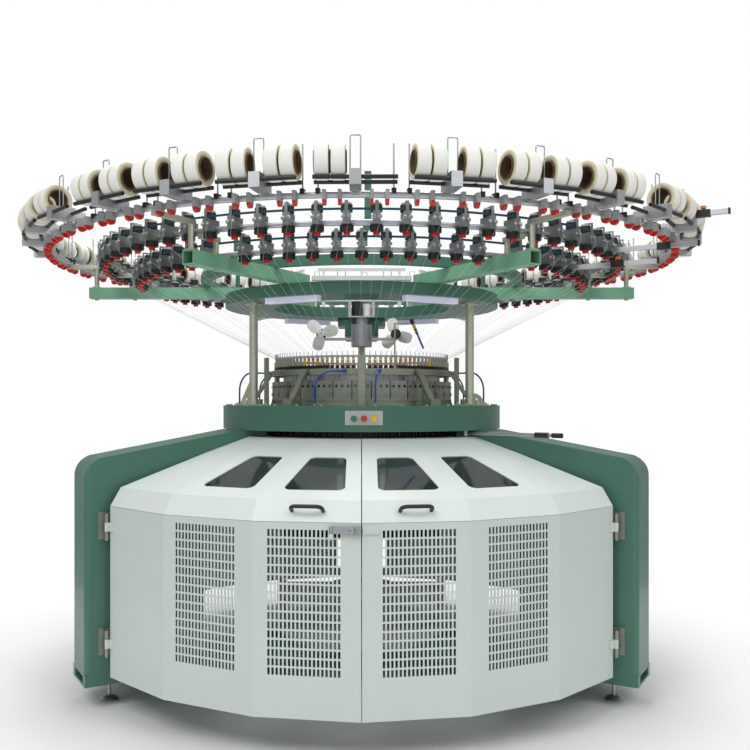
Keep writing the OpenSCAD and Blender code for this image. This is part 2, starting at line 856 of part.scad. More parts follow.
unit_top = 26;
core_r = 42;
core_r_in = 38;
bobbin_rise = sqrt(pow(bobbin_dia / 2 + unit_rod_r, 2) - pow(unit_rod_gap / 2, 2));

// Places that stand empty, as unit number and side
empty_places = [[0, 1], [26, 1], [9, -1], [15, 1], [20, -1], [4, -1]];

function stands_empty(place) = len([for (p = empty_places) if (p == place) p]) > 0;

module each_bobbin() {
    for (i = [0:unit_count - 1], s = [-1, 1]) if (!stands_empty([i, s]))
        at(unit_phase + i * unit_step, unit_r, unit_rod_z) for (x = bobbin_x)
            translate([s * x, 0, bobbin_rise]) rotate([0, 90, 0]) children();
}

module bobbins() {
    color([0.95, 0.94, 0.88]) each_bobbin() difference() {
        cylinder(h = bobbin_w, r = bobbin_dia / 2, center = true, $fn = 64);
        cylinder(h = bobbin_w + 2, r = core_r, center = true, $fn = 48);
    }
}

module bobbin_cores() {
    color([0.45, 0.30, 0.18]) each_bobbin() difference() {
        cylinder(h = bobbin_w + 6, r = core_r, center = true, $fn = 48);
        cylinder(h = bobbin_w + 8, r = core_r_in, center = true, $fn = 48);
    }
}

// A bent wire over each block, and two straight pins that stand on the ring between the units
module guard_wires() {
    wire_r = 2.5;
    bend = 6;
    half = 19;
    rise = 160;
    pin_x = 141;
    pin_r = 3;
    pin_top = creel_z[0] + 190;
    clamp_w = 16;
    clamp_top = tube_r + 9;
    color(steel) each_unit() {
        for (s = [-1, 1]) {
            translate([s * half, 0, unit_top]) cylinder(h = rise - unit_top - bend, r = wire_r, $fn = 16);
            translate([s * (half - bend), 0, rise - bend]) rotate([90, 0, 0]) rotate([0, 0, s > 0 ? 0 : 90])
                rotate_extrude(angle = 90, $fn = 32) translate([bend, 0]) circle(r = wire_r, $fn = 16);
        }
        translate([bend - half, 0, rise]) rotate([0, 90, 0])
            cylinder(h = 2 * (half - bend), r = wire_r, $fn = 16);
    }
    for (i = [0:unit_count - 1], s = [-1, 1])
        at(unit_phase + i * unit_step + s * atan(pin_x / creel_r[0]), creel_r[0], creel_z[0]) {
            color(dark) difference() {
                block(clamp_w, -tube_r - 5, tube_r + 5, 2, clamp_top);
                rotate([0, 90, 0]) cylinder(h = 2 * clamp_w, r = tube_r + clamp_fit, center = true, $fn = 48);
            }
            color(steel) translate([0, 0, clamp_top])
                cylinder(h = pin_top - creel_z[0] - clamp_top, r = pin_r, $fn = 16);
        }
}

stop_mid = -17;
stop_half = 21;
stop_z0 = -24;

// A yarn stop for every bobbin place, hung on the outer ring in line with it
module each_stop() {
    for (i = [0:unit_count - 1], s = [-1, 1], x = bobbin_x)
        at(unit_phase + i * unit_step + s * atan(x / unit_r), creel_r[0], creel_z[0]) children();
}

module stop_housings() {
    color(pale_grey) each_stop() difference() {
        block(14, stop_mid - stop_half, stop_mid + stop_half, stop_z0, 12);
        rotate([0, 90, 0]) cylinder(h = 60, r = tube_r + clamp_fit, center = true, $fn = 48);
    }
}

// Belt tensioner rails at the right of the front, one from each creel ring
rail_phi = [60 + unit_phase, 60, 57.5];
rail_w = 20;
rail_h = 22;
rail_ends = [1895, 1763, 1600];
rail_starts = [1560, creel_r[1] + tube_r, creel_r[2] + tube_r];
rail_z = [2253, creel_z[1] - rail_h / 2, creel_z[2] - rail_h / 2];
carriage_r = [1790, 1614, 1420];
carriage_fit = 0.05;

module tensioner_rails() {
    for (i = [0:2]) at(rail_phi[i], 0, rail_z[i]) {
        color(steel) difference() {
            union() {
                block(rail_w, -rail_ends[i], -rail_starts[i] + (i == 0 ? 0 : tube_r - 1), 0, rail_h);
                if (i == 0) block(rail_w, -unit_r - 20, -unit_r + 20, unit_rod_z + unit_top - rail_z[i], 1);
            }
            if (i > 0) translate([0, -creel_r[i], rail_h / 2]) rotate([0, 90, 0])
                cylinder(h = 2 * rail_w, r = tube_r + clamp_fit, center = true, $fn = 48);
        }
        color(dark) block(rail_w + 4, -rail_ends[i] - 8, -rail_ends[i], -2, rail_h + 2);
    }
}

module carriage(i) {
    cheek = 6;
    rise = 4;
    at(rail_phi[i], carriage_r[i], rail_z[i]) {
        color(dark) difference() {
            block(rail_w + 2 * cheek, -30, 30, -cheek, rail_h + rise);
            block(rail_w + 2 * carriage_fit, -31, 31, -carriage_fit, rail_h + carriage_fit);
        }
        color([0.9, 0.4, 0.1]) translate([0, 0, rail_h + rise]) {
            cylinder(h = 6, r = 6, $fn = 32);
            translate([0, 0, 6]) cylinder(h = 12, r = 12, $fn = 32);
        }
    }
}

module tensioner_carriage_outer() {
    carriage(0);
}

module tensioner_carriage_middle() {
    carriage(1);
}

module tensioner_carriage_inner() {
    carriage(2);
}

// Arm from the rear of the middle ring to the machine axis, with the hanging pole and its clamp
neck_r = 30;
bridge_z0 = 1785;
bridge_z1 = 1878;
pole_end = 1719;
bridge_tip = 64;

module bridge_arm() {
    color([0.16, 0.32, 0.27]) difference() {
        union() {
            block(120, bridge_tip, 120, bridge_z0, bridge_z1);
            block(190, 110, 560, bridge_z0, bridge_z1);
            block(290, 500, 720, bridge_z1 - 1, ring_z0);
        }
        block(110, column_r - 55, 721, bridge_z1 - 2, ring_z0 + 1);
    }
    color(pale_grey) {
        for (s = [-1, 1]) block(16, -40, 40, bridge_z1, 1974, s * 65);
        block(146, -58, bridge_tip + 50, bridge_z1, bridge_z1 + 8);
        translate([0, 0, pole_end]) cylinder(h = bridge_z1 - pole_end, r = neck_r, $fn = 64);
    }
    color(dark) translate([-26, 0, bridge_z1 + 8]) cylinder(h = 84, r = 28, $fn = 48);
    color([0.9, 0.9, 0.9]) translate([32, 0, bridge_z1 + 8]) cylinder(h = 70, r = 22, $fn = 48);
}

// Carrier clamped round the pole below the bridge arm, with a fan motor on each arm
carrier_z1 = 1841;
fan_x = [-222, 189];
fan_z = 1790;
motor_r = 28;
motor_half = 26;
fan_gap = 6;
fan_axle_r = 5;

module fan_carrier() {
    arm_z = 1755;
    arm_t = 14;
    hub_r = 57;
    color(steel) difference() {
        union() {
            translate([0, 0, pole_end + 0.3]) cylinder(h = carrier_z1 - pole_end - 0.3, r = hub_r, $fn = 64);
            for (x = fan_x) block(abs(x) + 18, -14, 14, arm_z, arm_z + arm_t, x / 2);
        }
        translate([0, 0, pole_end]) cylinder(h = carrier_z1 - pole_end + 1, r = neck_r + run_fit, $fn = 64);
    }
    color(dark) for (i = [0, 1]) translate([fan_x[i], 0, fan_z]) rotate([i == 0 ? 90 : -90, 0, 0]) {
        translate([0, 0, -motor_half]) cylinder(h = 2 * motor_half, r = motor_r, $fn = 48);
        cylinder(h = motor_half + fan_gap + 20, r = fan_axle_r, $fn = 32);
    }
}

blade_count = 3;

// A fan with broad petal blades; the left one faces the front and the right one the rear
module fan(i) {
    hub_h = 18;
    hub_r = 20;
    petal_r = 27;
    petal_l = 26;
    color([0.95, 0.95, 0.95]) translate([fan_x[i], 0, fan_z]) rotate([i == 0 ? 90 : -90, 0, 0])
        translate([0, 0, motor_half + fan_gap]) difference() {
            union() {
                cylinder(h = hub_h, r = hub_r, $fn = 48);
                for (k = [0:blade_count - 1]) rotate(15 + k * 360 / blade_count) translate([0, 0, hub_h / 2])
                    rotate([16, 0, 0]) linear_extrude(3, center = true) offset(r = petal_r, $fn = 48)
                        translate([hub_r + petal_r - 6, -5]) square([petal_l, 10]);
            }
            translate([0, 0, -1]) cylinder(h = hub_h + 2, r = fan_axle_r + run_fit, $fn = 32);
        }
}

module fan_left() {
    fan(0);
}

module fan_right() {
    fan(1);
}

pitch_r = gear_module * gear_teeth / 2;
pinion_r = gear_module * pinion_teeth / 2;
pinion_phi = 120;
back_lash = 1;

// Straight-sided gear teeth round a disc
module gear_outline(teeth, radius, grow) {
    root = radius - 1.25 * gear_module;
    tip = radius + gear_module;
    step = 360 / teeth;
    function half(r, width) = width / 2 / r * 180 / PI;
    w = PI * gear_module / 2 - grow;
    polygon([for (i = [0:teeth - 1]) each [
        root * [sin(i * step - half(root, w * 1.45)), -cos(i * step - half(root, w * 1.45))],
        tip * [sin(i * step - half(tip, w * 0.55)), -cos(i * step - half(tip, w * 0.55))],
        tip * [sin(i * step + half(tip, w * 0.55)), -cos(i * step + half(tip, w * 0.55))],
        root * [sin(i * step + half(root, w * 1.45)), -cos(i * step + half(root, w * 1.45))]]]);
}

// The pinion lies at an angle where the gear has a tooth when the pinion shows a gap
mesh_turn = pinion_phi - round(pinion_phi / (360 / gear_teeth)) * 360 / gear_teeth;
cyl_wall = 16;
cyl_top = 1560;
gear_hub_in = cyl_r - 20;
seat_gap = 0.02;

module drive_gear() {
    color(dark) rotate(mesh_turn) translate([0, 0, gear_z0]) linear_extrude(gear_z1 - gear_z0) difference() {
        gear_outline(gear_teeth, pitch_r, back_lash);
        circle(r = gear_hub_in, $fn = 180);
    }
}

module needle_cylinder() {
    slot_w_needle = 4;
    slot_count = 96;
    color(steel) translate([0, 0, gear_z1]) linear_extrude(cyl_top - gear_z1) difference() {
        circle(r = cyl_r, $fn = 180);
        circle(r = cyl_r - cyl_wall, $fn = 180);
        for (i = [0:slot_count - 1]) rotate(i * 360 / slot_count)
            translate([-slot_w_needle / 2, cyl_r - 3]) square([slot_w_needle, 6]);
    }
}

// Frame that turns below the gear and carries the take-down rollers
frame_foot_z = frame_z1 + axial_fit;
cheek_x = 440;
cheek_t = 24;
roller_l = 2 * (cheek_x - cheek_t / 2) - 4;
roller_r = 36;
roller_z = [700, 700, 520];
roller_y = [-36.2, 36.2, -36.2];
journal_r = 15;

module takedown_frame() {
    color([0.55, 0.57, 0.58]) {
        ring(gear_hub_in, 500, gear_z0 - 24, gear_z0 - seat_gap);
        difference() {
            union() {
                for (s = [-1, 1]) block(cheek_t, -150, 150, frame_foot_z + 24, gear_z0 - 23, s * cheek_x);
                for (z = [1000, 420]) block(2 * cheek_x, 120, 144, z, z + 60);
            }
            for (y = [roller_y[0], roller_y[1]]) translate([-500, y, roller_z[0]]) rotate([0, 90, 0])
                cylinder(h = 1000, r = journal_r + run_fit, $fn = 48);
        }
        translate([0, 0, frame_foot_z]) cylinder(h = 25, r = 470, $fn = 120);
        translate([0, 0, frame_z0 + 8]) cylinder(h = frame_foot_z - frame_z0, r = spigot_r, $fn = 64);
        translate([0, 0, 360]) rotate([0, 90, 0]) cylinder(h = 2 * cheek_x, r = 60, center = true, $fn = 64);
    }
}

module takedown_roller(y) {
    color(dark) translate([0, y, roller_z[0]]) rotate([0, 90, 0]) {
        cylinder(h = roller_l, r = roller_r, center = true, $fn = 64);
        cylinder(h = 2 * cheek_x + cheek_t, r = journal_r, center = true, $fn = 48);
    }
}

module takedown_roller_front() {
    takedown_roller(roller_y[0]);
}

module takedown_roller_rear() {
    takedown_roller(roller_y[1]);
}

mesh_r = pitch_r + pinion_r;
motor_top = 1230;

// Motor hung from the bed by four posts, with its shaft up to the pinion
module drive_motor() {
    post_places = [[-86, 18], [86, 18], [-78, -42], [78, -42]];
    color([0.25, 0.30, 0.33]) at(pinion_phi, mesh_r) {
        translate([0, 0, 900]) cylinder(h = motor_top - 16 - 900, r = 95, $fn = 64);
        difference() {
            translate([0, 0, motor_top - 16]) cylinder(h = 16, r = 100, $fn = 64);
            translate([0, 0, motor_top - 17]) cylinder(h = 40, r = 20, $fn = 48);
        }
        translate([0, 0, motor_top - 20]) cylinder(h = gear_z1 - motor_top + 20, r = 12, $fn = 48);
        for (p = post_places) translate([p[0], p[1], motor_top])
            cylinder(h = bed_z1 - bed_skin - motor_top, r = 9, $fn = 32);
    }
}

module drive_pinion() {
    turn = 180 + 180 / pinion_teeth;
    color(steel) at(pinion_phi, mesh_r, gear_z0) difference() {
        rotate(turn) linear_extrude(gear_z1 - gear_z0) gear_outline(pinion_teeth, pinion_r, back_lash);
        translate([0, 0, -1]) cylinder(h = gear_z1, r = 12 + run_fit, $fn = 48);
    }
}

// Fixed parts of the knitting head above the bed
head_r = 492;
base_top = 1430;
cam_top = 1522;
guide_ring_z = 1552;
guide_ring_h = 31;
cam_in = cyl_r + 3;

module cam_base_ring() {
    color(pale_grey) {
        ring(cam_in, head_r + 8, bed_z1, base_top - 25);
        ring(cam_in, head_r + 2, base_top - 25, base_top);
    }
}

// One cam box: a sector block with three holes in its face
module cam_box() {
    half = 180 / cam_count;
    gap = 0.25;
    hole_r = 7.5;
    hole_z = 1495 - base_top;
    hole_turn = 3.6;
    difference() {
        linear_extrude(cam_top - base_top) polygon([
            cam_in * [-sin(half - gap), -cos(half - gap)], head_r * [-sin(half - gap), -cos(half - gap)],
            head_r * [0, -1], head_r * [sin(half - gap), -cos(half - gap)],
            cam_in * [sin(half - gap), -cos(half - gap)], cam_in * 1.003 * [0, -1]]);
        for (k = [-1, 0, 1]) rotate(k * hole_turn) translate([0, -head_r - 5, hole_z]) rotate([-90, 0, 0])
            cylinder(h = 25, r = hole_r, $fn = 32);
    }
}

module cam_boxes() {
    color(steel) for (i = [0:cam_count - 1]) at(i * 360 / cam_count, 0, base_top) cam_box();
}

post_r_head = 572;
strut_angles = [35, 95, 155, -35, -95, -155];

module guide_ring() {
    color(pale_grey) ring(cam_in + 8, head_r + 2, guide_ring_z, guide_ring_z + guide_ring_h);
}

// Flat posts with arms to the ring, and the slanted struts between them
module guide_supports() {
    post_w = 33;
    post_t = 14;
    arm_z = 1560;
    color(pale_grey) for (i = [0:5]) at(60 * i, post_r_head) {
        block(post_w, -post_t / 2, post_t / 2, bed_z1, 1645);
        block(post_w - 8, 0, post_r_head - head_r - 2.1, arm_z, arm_z + 14);
    }
    color(steel) for (a = strut_angles) at(a, 0) {
        block(60, -640, -560, bed_z1, base_top);
        rotate([90, 0, 90]) translate([0, 0, -post_w / 2]) linear_extrude(post_w)
            polygon([[-612, base_top - 1], [-590, base_top - 1], [-494.3, guide_ring_z + 20],
                [-494.3, guide_ring_z + 31], [-504, guide_ring_z + 31]]);
    }
}

guide_r = 470;
guide_step = 360 / guide_count;

// A yarn guide: foot, eyelet plate and hook
module yarn_guides() {
    foot_top = 17;
    plate_top = 57;
    top = guide_ring_z + guide_ring_h;
    for (i = [0:guide_count - 1]) at((i + 0.5) * guide_step, guide_r, top) {
        color(dark) block(16, -10, 10, 0, foot_top);
        color([0.75, 0.62, 0.45]) difference() {
            block(13, -4, 4, foot_top, plate_top);
            translate([0, -5, plate_top - 10]) rotate([-90, 0, 0]) cylinder(h = 10, r = 3, $fn = 24);
        }
    }
    color(pale_grey) ring(guide_r - 4, guide_r + 4, top + plate_top, top + plate_top + 11);
    color(steel) for (i = [0:guide_count - 1]) at((i + 0.5) * guide_step, guide_r + 5, top + plate_top)
        cylinder(h = 32, r = 1.5, $fn = 16);
}

hose_r = 4.5;
hose_end_z = guide_ring_z + 18;

// Oil hoses as start angle, start radius, heading from the tangent and side
hoses = [[-23.3, 588, 40, 1], [6.6, 588, 70, 1], [-68, 690, 60, -1], [68, 690, 60, 1], [101, 588, 40, 1],
    [-101, 588, 40, -1], [161, 588, 40, 1]];

// A hose from its bed fitting up and over in a quarter bend to a fitting block on the guide ring
module hose(phi, start, heading, side) {
    fit_r = 8;
    fit_h = 12;
    block_t = 16;
    face_r = head_r + 2.1;
    end_r = face_r + block_t / 2;
    reach = start * sin(heading) - sqrt(pow(end_r, 2) - pow(start * cos(heading), 2));
    bend = min(95, reach - 10);
    rise = hose_end_z - bed_z1 - bend;
    sunk = 1;
    end_x = side * reach * cos(heading);
    end_phi = phi + atan(end_x / (start - reach * sin(heading)));
    at(phi, start, bed_z1) {
        color(steel) cylinder(h = fit_h, r = fit_r, $fn = 32);
        color([0.10, 0.35, 0.70]) rotate([0, 0, side > 0 ? heading : 180 - heading]) {
            translate([0, 0, fit_h - sunk]) cylinder(h = rise - fit_h + sunk, r = hose_r, $fn = 32);
            translate([bend, 0, rise]) rotate([90, 0, 0]) rotate([0, 0, 90])
                rotate_extrude(angle = 90, $fn = 48) translate([bend, 0]) circle(r = hose_r, $fn = 24);
            translate([bend, 0, rise + bend]) rotate([0, 90, 0])
                cylinder(h = reach - bend, r = hose_r, $fn = 32);
        }
    }
    color(steel) at(end_phi, 0, hose_end_z) block(16, -face_r - block_t, -face_r, -8, 8);
}

module head_hoses() {
    for (h = hoses) hose(h[0], h[1], h[2], h[3]);
}

bottom_frame();
levelling_feet();
legs();
bed_ring();
columns();
middle_ring();
work_lights();
cable_ducts();
creel_arms();
upper_ring();
creel_posts();
creel_rings();
feeder_bodies();
feed_wheels();
signal_lamps();
feed_belts();
roller_blocks();
bobbin_rollers();
bobbins();
bobbin_cores();
guard_wires();
stop_housings();
tensioner_rails();
tensioner_carriage_outer();
tensioner_carriage_middle();
tensioner_carriage_inner();
bridge_arm();
fan_carrier();
fan_left();
fan_right();
button_panel();
button_green();
button_red();
button_yellow();
turning_lever();
door_left_panel();
door_left_hood();
door_left_windows();
door_left_handle();
door_right_panel();
door_right_hood();
door_right_windows();
door_right_handle();
door_latch();
hinge_brackets();
rear_guards();
rear_windows();
drive_gear();
needle_cylinder();
takedown_frame();
takedown_roller_front();
takedown_roller_rear();
drive_motor();
drive_pinion();
cam_base_ring();
cam_boxes();
guide_ring();
guide_supports();
yarn_guides();
head_hoses();
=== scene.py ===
# %% [markdown]
# A large circular knitting machine stands on a pale floor: three green legs carry a bed ring,
# the needle cylinder turns in the middle of the bed, folded white doors close the space below,
# and three rings overhead carry the feeders and the bobbins of elastic yarn.
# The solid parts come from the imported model, already in place. This script gives them their finishes
# and adds the small repeated things that make the machine look real.

# %% Load the machine
import json
import math
import bpy
import bmesh
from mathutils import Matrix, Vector


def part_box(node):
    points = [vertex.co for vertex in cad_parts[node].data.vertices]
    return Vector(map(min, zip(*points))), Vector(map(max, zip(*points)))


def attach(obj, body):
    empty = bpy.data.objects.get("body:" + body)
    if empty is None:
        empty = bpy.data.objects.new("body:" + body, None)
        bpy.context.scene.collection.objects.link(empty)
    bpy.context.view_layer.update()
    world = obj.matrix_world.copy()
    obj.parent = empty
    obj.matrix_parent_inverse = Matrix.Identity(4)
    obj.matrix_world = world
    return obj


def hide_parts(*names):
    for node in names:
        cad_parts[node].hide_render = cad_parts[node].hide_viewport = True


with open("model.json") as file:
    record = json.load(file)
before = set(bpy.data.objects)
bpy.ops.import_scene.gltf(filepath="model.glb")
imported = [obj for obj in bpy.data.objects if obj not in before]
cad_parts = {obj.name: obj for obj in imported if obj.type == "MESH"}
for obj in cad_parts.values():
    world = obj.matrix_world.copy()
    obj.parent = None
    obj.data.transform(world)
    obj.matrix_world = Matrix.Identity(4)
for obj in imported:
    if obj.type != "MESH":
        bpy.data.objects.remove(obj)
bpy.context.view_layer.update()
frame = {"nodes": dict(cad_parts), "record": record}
nodes = frame["nodes"]
print("parts in the frame:", len(nodes))

# %% [markdown]
# Sizes that several steps use. All lengths are in metres, as the frame is. The machine's axis is the
# Z axis, and an angle is counted from the front, which faces -Y.

# %% Sizes
BED_TOP = 1.396
CYLINDER_R = 0.431
CAM_R = 0.492
GUIDE_COUNT = 108
GUIDE_R = 0.470
GUIDE_RING_TOP = 1.583
UNIT_COUNT = 30
UNIT_R = 1.703
ROD_Z = 2.220
ROD_R = 0.008
ROD_GAP = 0.078
BOBBIN_R = 0.067
BOBBIN_W = 0.054
BOBBIN_CORE_R = 0.042
RING_R = [1.620, 1.340, 1.165]
RING_Z = [2.185, 2.137, 2.060]
FEEDERS_A_RING = 72
HEAD_OUT = 0.024
ARM_ANGLES = [math.radians(a) for a in (-150, -90, -30, 30, 90, 150)]


def around(angle, radius, height=0.0, side=0.0):
    """The point at an angle from the front, a radius and a height, moved sideways by side."""
    x = radius * math.sin(angle) + side * math.cos(angle)
    y = -radius * math.cos(angle) + side * math.sin(angle)
    return Vector((x, y, height))


print("bobbin places:", UNIT_COUNT * 4)

# %% [markdown]
# The photograph was taken from straight in front, level, with the lens at chest height. A shift of the
# lens keeps the uprights upright while the creel and the doors both fit in the square picture.

# %% Camera
CAMERA_Y = -4.886
CAMERA_Z = 1.420
FOCAL_PX = 882.4
PICTURE_PX = 750
AXIS_PX = (361.6, 401.0)
SENSOR = 36.0

camera_data = bpy.data.cameras.new("camera")
camera = bpy.data.objects.new("camera", camera_data)
bpy.context.scene.collection.objects.link(camera)
bpy.context.scene.camera = camera
camera.location = (0.0, CAMERA_Y, CAMERA_Z)
camera.rotation_euler = (math.radians(90), 0.0, 0.0)
camera_data.sensor_width = SENSOR
camera_data.lens = FOCAL_PX / PICTURE_PX * SENSOR
camera_data.shift_x = (PICTURE_PX / 2 - AXIS_PX[0]) / PICTURE_PX
camera_data.shift_y = (AXIS_PX[1] - PICTURE_PX / 2) / PICTURE_PX
camera_data.clip_end = 60.0
print("lens in mm:", round(camera_data.lens, 2))

# %% [markdown]
# Effects that many finishes share are node groups: soft mottling of a painted face, fine streaks of
# brushed metal, and the small grain that catches the light. Each is built once and placed in the
# materials with its own values.

# %% A helper for node groups
def new_group(name, inputs, outputs):
    """A shader node group with named inputs and outputs, and its first two nodes."""
    tree = bpy.data.node_groups.new(name, "ShaderNodeTree")
    for label, kind, value in inputs:
        socket = tree.interface.new_socket(label, in_out="INPUT", socket_type=kind)
        socket.default_value = value
    for label, kind in outputs:
        tree.interface.new_socket(label, in_out="OUTPUT", socket_type=kind)
    return tree, tree.nodes.new("NodeGroupInput"), tree.nodes.new("NodeGroupOutput")


COLOUR = "NodeSocketColor"
FLOAT = "NodeSocketFloat"


def math_node(tree, operation, a, b):
    """A Math node whose inputs are sockets or plain numbers."""
    node = tree.nodes.new("ShaderNodeMath")
    node.operation = operation
    for slot, value in zip(node.inputs, (a, b)):
        if isinstance(value, (int, float)):
            slot.default_value = value
        else:
            tree.links.new(value, slot)
    return node.outputs[0]


def noise_node(tree, vector, scale, detail=3.0):
    """A Noise Texture on a vector; scale is a socket or a number."""
    node = tree.nodes.new("ShaderNodeTexNoise")
    node.inputs["Detail"].default_value = detail
    tree.links.new(vector, node.inputs["Vector"])
    if isinstance(scale, (int, float)):
        node.inputs["Scale"].default_value = scale
    else:
        tree.links.new(scale, node.inputs["Scale"])
    return node.outputs["Fac"]


def mix_colours(tree, factor, a, b):
    """A colour mix of two sockets."""
    node = tree.nodes.new("ShaderNodeMix")
    node.data_type = "RGBA"
    tree.links.new(factor, node.inputs[0])
    tree.links.new(a, node.inputs[6])
    tree.links.new(b, node.inputs[7])
    return node.outputs[2]


# %% Mottled surface group
mottle, m_in, m_out = new_group(
    "mottled_surface",
    [("Base", COLOUR, (0.5, 0.5, 0.5, 1)), ("Worn", COLOUR, (0.3, 0.3, 0.3, 1)), ("Amount", FLOAT, 0.3),
     ("Scale", FLOAT, 6.0), ("Grain", FLOAT, 400.0), ("Rough", FLOAT, 0.4), ("Rough spread", FLOAT, 0.15)],
    [("Colour", COLOUR), ("Roughness", FLOAT), ("Height", FLOAT)])
m_coord = mottle.nodes.new("ShaderNodeTexCoord").outputs["Object"]
broad = noise_node(mottle, m_coord, m_in.outputs["Scale"], 4.0)
fine = noise_node(mottle, m_coord, m_in.outputs["Grain"], 2.0)
worn_mask = math_node(mottle, "MULTIPLY", broad, m_in.outputs["Amount"])
enamel = mix_colours(mottle, worn_mask, m_in.outputs["Base"], m_in.outputs["Worn"])
mottle.links.new(enamel, m_out.inputs["Colour"])
rough_part = math_node(mottle, "MULTIPLY", broad, m_in.outputs["Rough spread"])
mottle.links.new(math_node(mottle, "ADD", m_in.outputs["Rough"], rough_part), m_out.inputs["Roughness"])
mottle.links.new(fine, m_out.inputs["Height"])
print("group:", mottle.name)

# %% Brushed streak group
streak, s_in, s_out = new_group(
    "brushed_streaks",
    [("Base", COLOUR, (0.7, 0.7, 0.7, 1)), ("Dark", COLOUR, (0.4, 0.4, 0.4, 1)), ("Along", FLOAT, 8.0),
     ("Across", FLOAT, 600.0), ("Rough", FLOAT, 0.3)],
    [("Colour", COLOUR), ("Roughness", FLOAT), ("Height", FLOAT)])
s_coord = streak.nodes.new("ShaderNodeTexCoord").outputs["Object"]
stretch = streak.nodes.new("ShaderNodeCombineXYZ")
streak.links.new(s_in.outputs["Along"], stretch.inputs[0])
streak.links.new(s_in.outputs["Along"], stretch.inputs[1])
streak.links.new(s_in.outputs["Across"], stretch.inputs[2])
scaled = streak.nodes.new("ShaderNodeVectorMath")
scaled.operation = "MULTIPLY"
streak.links.new(s_coord, scaled.inputs[0])
streak.links.new(stretch.outputs[0], scaled.inputs[1])
lines = noise_node(streak, scaled.outputs[0], 1.0, 2.0)
brushed = mix_colours(streak, lines, s_in.outputs["Base"], s_in.outputs["Dark"])
streak.links.new(brushed, s_out.inputs["Colour"])
streak.links.new(math_node(streak, "MULTIPLY_ADD", lines, 0.25), s_out.inputs["Roughness"])
streak.links.new(s_in.outputs["Rough"], streak.nodes[-1].inputs[2])
streak.links.new(lines, s_out.inputs["Height"])
print("group:", streak.name)

# %% Helpers that build a material from a group
BUMP_DEPTH = 0.0005
materials = {}


def linear(colour):
    """A display colour turned to the linear values that sockets hold."""
    return tuple(((c + 0.055) / 1.055) ** 2.4 if c > 0.04 else c / 12.92 for c in colour[:3]) + (1.0,)


def finish(name, tree, values, metal=0.0, bump=0.05, coat=0.0):
    """A material with one Principled shader, fed by a shared group with its own values."""
    material = bpy.data.materials.new(name)
    material.use_nodes = True
    net = material.node_tree
    shader = net.nodes["Principled BSDF"]
    group = net.nodes.new("ShaderNodeGroup")
    group.node_tree = tree
    for label, value in values.items():
        group.inputs[label].default_value = value
    net.links.new(group.outputs["Colour"], shader.inputs["Base Color"])
    net.links.new(group.outputs["Roughness"], shader.inputs["Roughness"])
    bumper = net.nodes.new("ShaderNodeBump")
    bumper.inputs["Strength"].default_value = bump
    bumper.inputs["Distance"].default_value = BUMP_DEPTH
    net.links.new(group.outputs["Height"], bumper.inputs["Height"])
    net.links.new(bumper.outputs["Normal"], shader.inputs["Normal"])
    shader.inputs["Metallic"].default_value = metal
    shader.inputs["Coat Weight"].default_value = coat
    materials[name] = material
    return material


def painted(name, base, worn, amount=0.35, rough=0.38, spread=0.15, scale=5.0, grain=500.0, bump=0.08,
            coat=0.15):
    """Enamel or powder coat with soft mottling."""
    values = {"Base": linear(base), "Worn": linear(worn), "Amount": amount, "Scale": scale,
              "Grain": grain, "Rough": rough, "Rough spread": spread}
    return finish(name, mottle, values, bump=bump, coat=coat)


def metal(name, base, dark, rough=0.25, along=6.0, across=500.0, bump=0.05):
    """Bare metal with fine streaks."""
    values = {"Base": linear(base), "Dark": linear(dark), "Along": along, "Across": across, "Rough": rough}
    return finish(name, streak, values, metal=1.0, bump=bump)


# %% [markdown]
# The finishes. The castings are a deep machine green with a satin coat, the creel arms the same paint
# seen paler in the light, and the doors are an off-white powder coat whose lower panels are painted darker
# and grey-green as painted shade.
# Metal parts are drawn aluminium or bright steel. Plastic, yarn and rubber are mottled with little gloss.

# %% Paints
painted("machine_green", (0.27, 0.46, 0.385), (0.20, 0.37, 0.30), rough=0.34)
painted("light_green", (0.50, 0.72, 0.60), (0.41, 0.63, 0.51), rough=0.36)
painted("sheet_white", (0.885, 0.915, 0.90), (0.82, 0.86, 0.84), amount=0.3, rough=0.42, coat=0.1)
# Painted shade: the lower panels take the same off-white paint as sheet_white, made darker for the upright
# faces.
painted("panel_grey", (0.80, 0.84, 0.815), (0.74, 0.785, 0.76), amount=0.35, rough=0.45, coat=0.1)
painted("grey_paint", (0.74, 0.75, 0.745), (0.62, 0.64, 0.64), rough=0.42)
painted("motor_paint", (0.25, 0.30, 0.33), (0.18, 0.21, 0.23), rough=0.5)
painted("black_gear", (0.07, 0.07, 0.08), (0.14, 0.13, 0.12), rough=0.32, amount=0.6)

# %% Metals
metal("bright_steel", (0.78, 0.79, 0.80), (0.62, 0.63, 0.65))
metal("ring_aluminium", (0.84, 0.85, 0.86), (0.70, 0.71, 0.73), rough=0.32)
metal("cast_grey", (0.68, 0.70, 0.66), (0.54, 0.56, 0.52), rough=0.38)
metal("column_steel", (0.86, 0.88, 0.80), (0.74, 0.76, 0.68), rough=0.34)
metal("dark_steel", (0.70, 0.73, 0.66), (0.56, 0.58, 0.52), rough=0.4)
metal("feeder_alloy", (0.66, 0.68, 0.67), (0.44, 0.46, 0.45), rough=0.3)
metal("brass_bit", (0.82, 0.77, 0.66), (0.64, 0.58, 0.48), rough=0.3)

